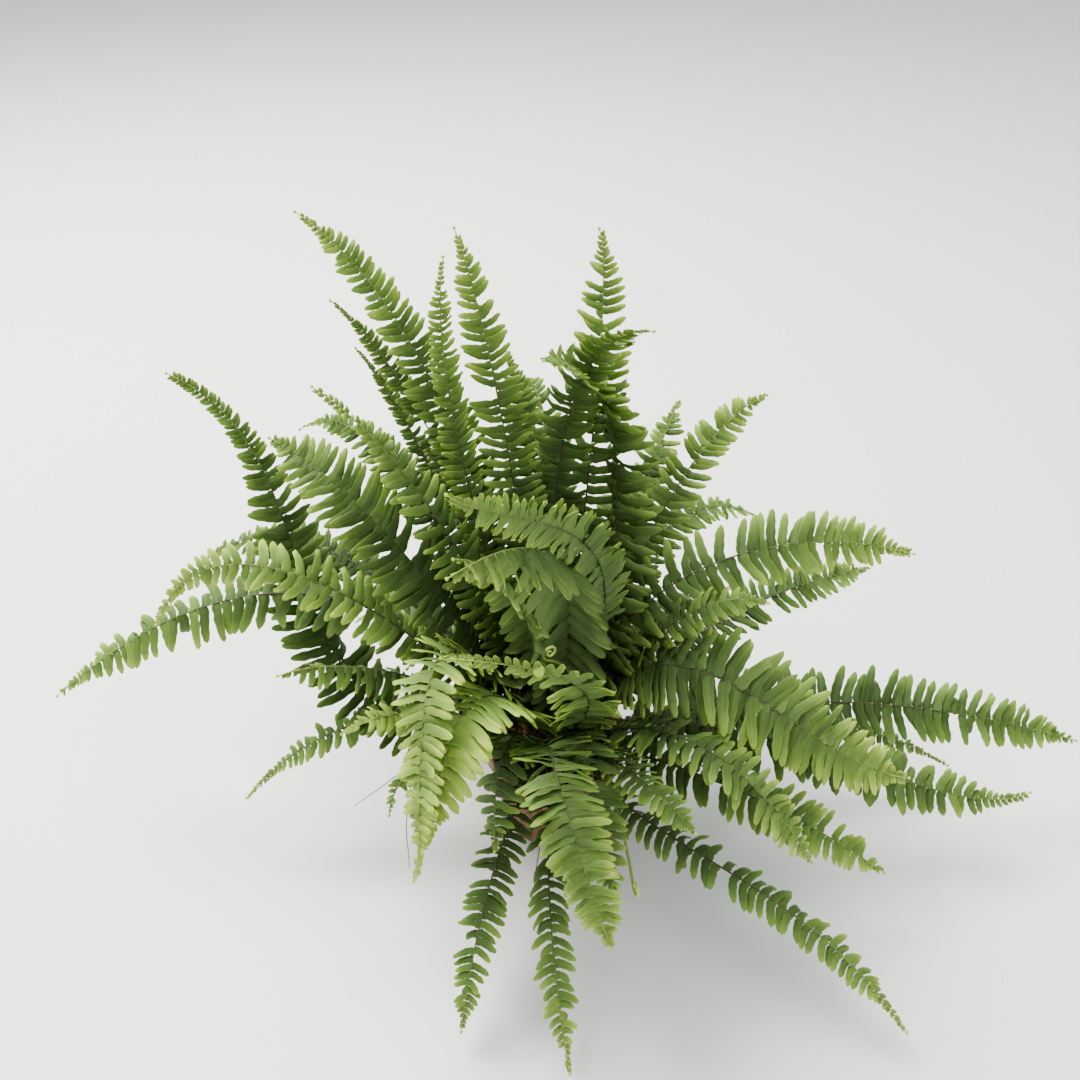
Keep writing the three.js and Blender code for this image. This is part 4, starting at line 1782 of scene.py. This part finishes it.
# ---------------------------------------------------------------- pot, soil and crown
class NurseryPot:
    """The plastic pot with its banded rim, footed base and drainage holes."""

    SIDES = 128

    def build(self, finish: bpy.types.Material) -> bpy.types.Object:
        """Builds the pot.

        Args:
            finish: Its material.

        Returns:
            The piece, in place of its CAD node.
        """
        p = POT
        band_bottom = p.height - p.band_depth
        under_band = p.radius_at(band_bottom)
        band = p.rim_radius - p.lip
        lip_bottom = p.height - p.lip_depth
        floor_top = p.foot_rise + p.floor
        profile = [
            (0, 0),
            (p.pad_radius, 0),
            (p.pad_radius + p.chamfer, p.foot_rise),
            (p.base_radius - p.foot_width - p.chamfer, p.foot_rise),
            (p.base_radius - p.foot_width, 0),
            (p.base_radius - p.chamfer, 0),
            (p.radius_at(p.chamfer), p.chamfer),
            (under_band, band_bottom),
            (band - p.chamfer, band_bottom + p.chamfer / 2),
            (band, band_bottom + p.chamfer),
            (band, lip_bottom),
            (p.rim_radius, lip_bottom + p.chamfer),
            (p.rim_radius, p.height - p.chamfer),
            (p.rim_radius - p.chamfer * 0.3, p.height - p.chamfer * 0.3),
            (p.rim_radius - p.chamfer, p.height),
            (band - p.wall, p.height),
            (band - p.wall, band_bottom + p.wall),
            (under_band - p.wall, band_bottom),
            (p.radius_at(floor_top) - p.wall, floor_top),
            (0, floor_top),
        ]
        piece = in_scene("nursery_pot", turned("nursery_pot", profile, self.SIDES))
        self.drill(piece)
        piece.data.materials.clear()
        piece.data.materials.append(finish)
        return settle(piece, ["pot"])

    def drill(self, piece: bpy.types.Object) -> None:
        """Cuts the drainage holes through the base.

        Args:
            piece: The pot.
        """
        profile = [(0, -MM), (POT.drain_radius, -MM), (POT.drain_radius, 8 * MM), (0, 8 * MM)]
        drills = []
        for i in range(POT.drain_count):
            drill = in_scene("drill", turned("drill", profile, 24))
            shift = polar(360 * i / POT.drain_count, POT.drain_circle, 0.0)
            for vertex in drill.data.vertices:
                vertex.co += Vector(shift)
            cut = piece.modifiers.new("drain", "BOOLEAN")
            cut.operation, cut.solver, cut.object = "DIFFERENCE", "EXACT", drill
            drills.append(drill)
        graph = bpy.context.evaluated_depsgraph_get()
        piece.data = bpy.data.meshes.new_from_object(piece.evaluated_get(graph), depsgraph=graph)
        piece.data.name = "nursery_pot"
        piece.modifiers.clear()
        for drill in drills:
            bpy.data.objects.remove(drill)
        faces = piece.data.polygons
        faces.foreach_set("use_smooth", [True] * len(faces))
        piece.data.set_sharp_from_angle(angle=math.radians(28))


class PottingSoil:
    """Dark potting mix with crumbs on its top."""

    BELOW_RIM = 10 * MM
    MOUND = 6 * MM
    FLAT = 4 * MM
    EDGE_SLOPE = 3 * MM
    EDGE_DIP = 5 * MM
    CROWN_DIP = 0.8 * MM
    BUMP = 0.22 * MM
    BUMP_SEED = 5
    SIDES = 96

    def build(self, tree: ScatterTree, finish: bpy.types.Material) -> bpy.types.Object:
        """Builds the soil.

        Args:
            tree: The tree that scatters crumbs.
            finish: Its material.

        Returns:
            The piece, in place of its CAD node.
        """
        bottom = POT.foot_rise + POT.floor + GAP
        edge = POT.height - self.BELOW_RIM
        shoulder = edge - self.EDGE_DIP
        outer = POT.radius_at(shoulder) - POT.wall - GAP
        profile = [(0, bottom), (POT.radius_at(bottom) - POT.wall - GAP, bottom), (outer, shoulder)]
        top = edge + self.MOUND - self.CROWN_DIP
        inner = CROWN.radius + self.FLAT
        for t in np.linspace(0, 1, 7):
            reach = (1 - t) * (outer - self.EDGE_SLOPE) + t * inner
            profile.append((reach, edge - MM + (top - edge + MM) * t))
        profile += [(inner * share, top) for share in (0.8, 0.55, 0.3)]
        profile.append((0, top))
        mesh = turned("soil_body", profile, self.SIDES)
        rng = np.random.default_rng(self.BUMP_SEED)
        waves = rng.uniform(150, 700, (6, 2)) * rng.choice([-1, 1], (6, 2))
        for vertex in mesh.vertices:
            if vertex.co.z > shoulder + 0.5 * MM and vertex.co.xy.length < outer - MM:
                bumps = sum(math.sin(a * vertex.co.x + b * vertex.co.y + i) for i, (a, b) in enumerate(waves))
                vertex.co.z += self.BUMP * bumps
        crumb = bpy.data.objects.new("crumb", bud_mesh("crumb"))
        values = {
            "Shape": crumb,
            "Per square metre": 220000.0,
            "Least size": 0.8 * MM,
            "Greatest size": 2.8 * MM,
            "Lean": 1.2,
            "Lowest": shoulder + MM,
            "Finish": finish,
            "Seed": 11,
        }
        piece = tree.made("crumbly_soil", mesh, values)
        bpy.data.objects.remove(crumb)
        return settle(piece, ["soil"])


class FibrousCrown:
    """The short rootstock that the stalks leave, covered in papery brown scales."""

    SIDES = 48
    RINGS = 12
    SHRINK = 0.97

    def build(self, tree: ScatterTree, patterns: Patterns, finish: bpy.types.Material) -> bpy.types.Object:
        """Builds the crown.

        Args:
            tree: The tree that scatters scales.
            patterns: The shapes that are repeated.
            finish: Its material.

        Returns:
            The piece, in place of its CAD node.
        """
        radius, height = CROWN.radius * self.SHRINK, CROWN.height * self.SHRINK
        shoulder = CROWN.foot + CROWN.skirt
        profile = [(0.0, CROWN.foot), (radius, CROWN.foot)]
        for i in range(self.RINGS):
            s = (math.pi / 2) * (1 - i / self.RINGS)
            profile.append((radius * math.sin(s), shoulder + height * math.cos(s)))
        profile.append((0.0, shoulder + height))
        values = {
            "Shape": patterns.scale,
            "Per square metre": 260000.0,
            "Least size": 3.0 * MM,
            "Greatest size": 6.0 * MM,
            "Lean": 0.5,
            "Lowest": CROWN.foot + 2 * MM,
            "Finish": finish,
            "Seed": 23,
        }
        piece = tree.made("fibrous_crown", turned("crown_body", profile, self.SIDES), values)
        return settle(piece, ["crown"])


# ---------------------------------------------------------------- studio
@dataclass(frozen=True)
class SoftLight:
    """One soft rectangular lamp that points at the plant."""

    name: str
    place: tuple[float, float, float]
    size: float
    power: float
    tone: tuple[float, float, float] = (1.0, 1.0, 1.0)

    def build(self, target: Vector) -> None:
        """Puts the lamp in the scene.

        Args:
            target: What it points at.
        """
        lamp = bpy.data.lights.new(self.name, "AREA")
        lamp.shape, lamp.size, lamp.energy, lamp.color = "SQUARE", self.size, self.power, self.tone
        item = in_scene(self.name, lamp)
        item.location = self.place
        item.rotation_euler = (target - Vector(self.place)).to_track_quat("-Z", "Y").to_euler()


@dataclass(frozen=True)
class Studio:
    """The plain pale floor, the soft light and the camera."""

    camera_place: tuple[float, float, float] = (-0.012, -0.632, 0.748)
    camera_pitch: float = 54.0
    lens: float = 36.1
    sensor: float = 36.0
    floor_half: float = 9.0
    floor_colour: Colour = colour(226, 227, 223)
    sky: Colour = colour(222, 226, 230)
    sky_strength: float = 1.0
    lights: tuple[SoftLight, ...] = (
        SoftLight("key", (-1.1, 1.1, 2.5), 1.5, 176.0, (1.0, 0.99, 0.96)),
        SoftLight("fill", (1.2, -1.7, 2.2), 2.4, 40.0, (0.96, 0.98, 1.0)),
    )

    def build(self) -> None:
        """Builds the studio."""
        self.floor()
        self.world()
        for light in self.lights:
            light.build(Vector((0.0, 0.0, 0.2)))
        lens = bpy.data.cameras.new("camera")
        lens.lens, lens.sensor_width = self.lens, self.sensor
        camera = in_scene("camera", lens)
        camera.location = self.camera_place
        camera.rotation_euler = (math.radians(self.camera_pitch), 0.0, 0.0)
        bpy.context.scene.camera = camera

    def floor(self) -> None:
        """Builds the floor."""
        half = self.floor_half
        points = np.array([(-half, -half, 0), (half, -half, 0), (half, half, 0), (-half, half, 0)])
        mesh = mesh_of("floor", points, [(0, 1, 2, 3)], smooth=False)
        item = in_scene("floor", mesh)
        material, maker, shader, _ = new_material("floor")
        cloudy = maker.math("MULTIPLY", noise(maker, 3.0), 0.05)
        shade = mixed(maker, cloudy, self.floor_colour, colour(200, 200, 196))
        fed(maker, shader, {"Base Color": shade})
        shader.inputs["Roughness"].default_value = 0.6
        mesh.materials.append(material)

    def world(self) -> None:
        """Sets the even light from all round."""
        world = bpy.data.worlds.new("studio")
        world.use_nodes = True
        backdrop = world.node_tree.nodes["Background"]
        backdrop.inputs[0].default_value = self.sky
        backdrop.inputs[1].default_value = self.sky_strength
        bpy.context.scene.world = world
        bpy.context.scene.view_settings.look = "AgX - Medium High Contrast"


def main() -> None:
    """Builds the plant around its frame, and reports each piece."""
    logging.basicConfig(level=logging.INFO, format="%(message)s")
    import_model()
    Studio().build()
    patterns = Patterns()
    leaf, stalk = LeafFinish().material(), StalkFinish().material()
    scatter = ScatterTree()
    NurseryPot().build(POT_FINISH.material())
    PottingSoil().build(scatter, SOIL_FINISH.material())
    FibrousCrown().build(scatter, patterns, CROWN_FINISH.material())
    stalk_tree = StalkTree()
    stalk_tree.finish(stalk_tree.stalk, stalk_tree.chaff)
    runner_finish = RUNNER_FINISH.material()
    for i, runner in enumerate(RUNNERS):
        runner.build(stalk_tree, patterns, runner_finish, 300 + i)
    for i, crozier in enumerate(CROZIERS):
        crozier.build(stalk_tree, patterns, stalk, 400 + i)
    frond_tree = FrondTree()
    for i, frond in enumerate(FRONDS):
        frond.build(frond_tree, patterns, {"leaflet": leaf, "stalk": stalk}, 1000 + i)
    patterns.clear()


if __name__ == "__main__":
    main()
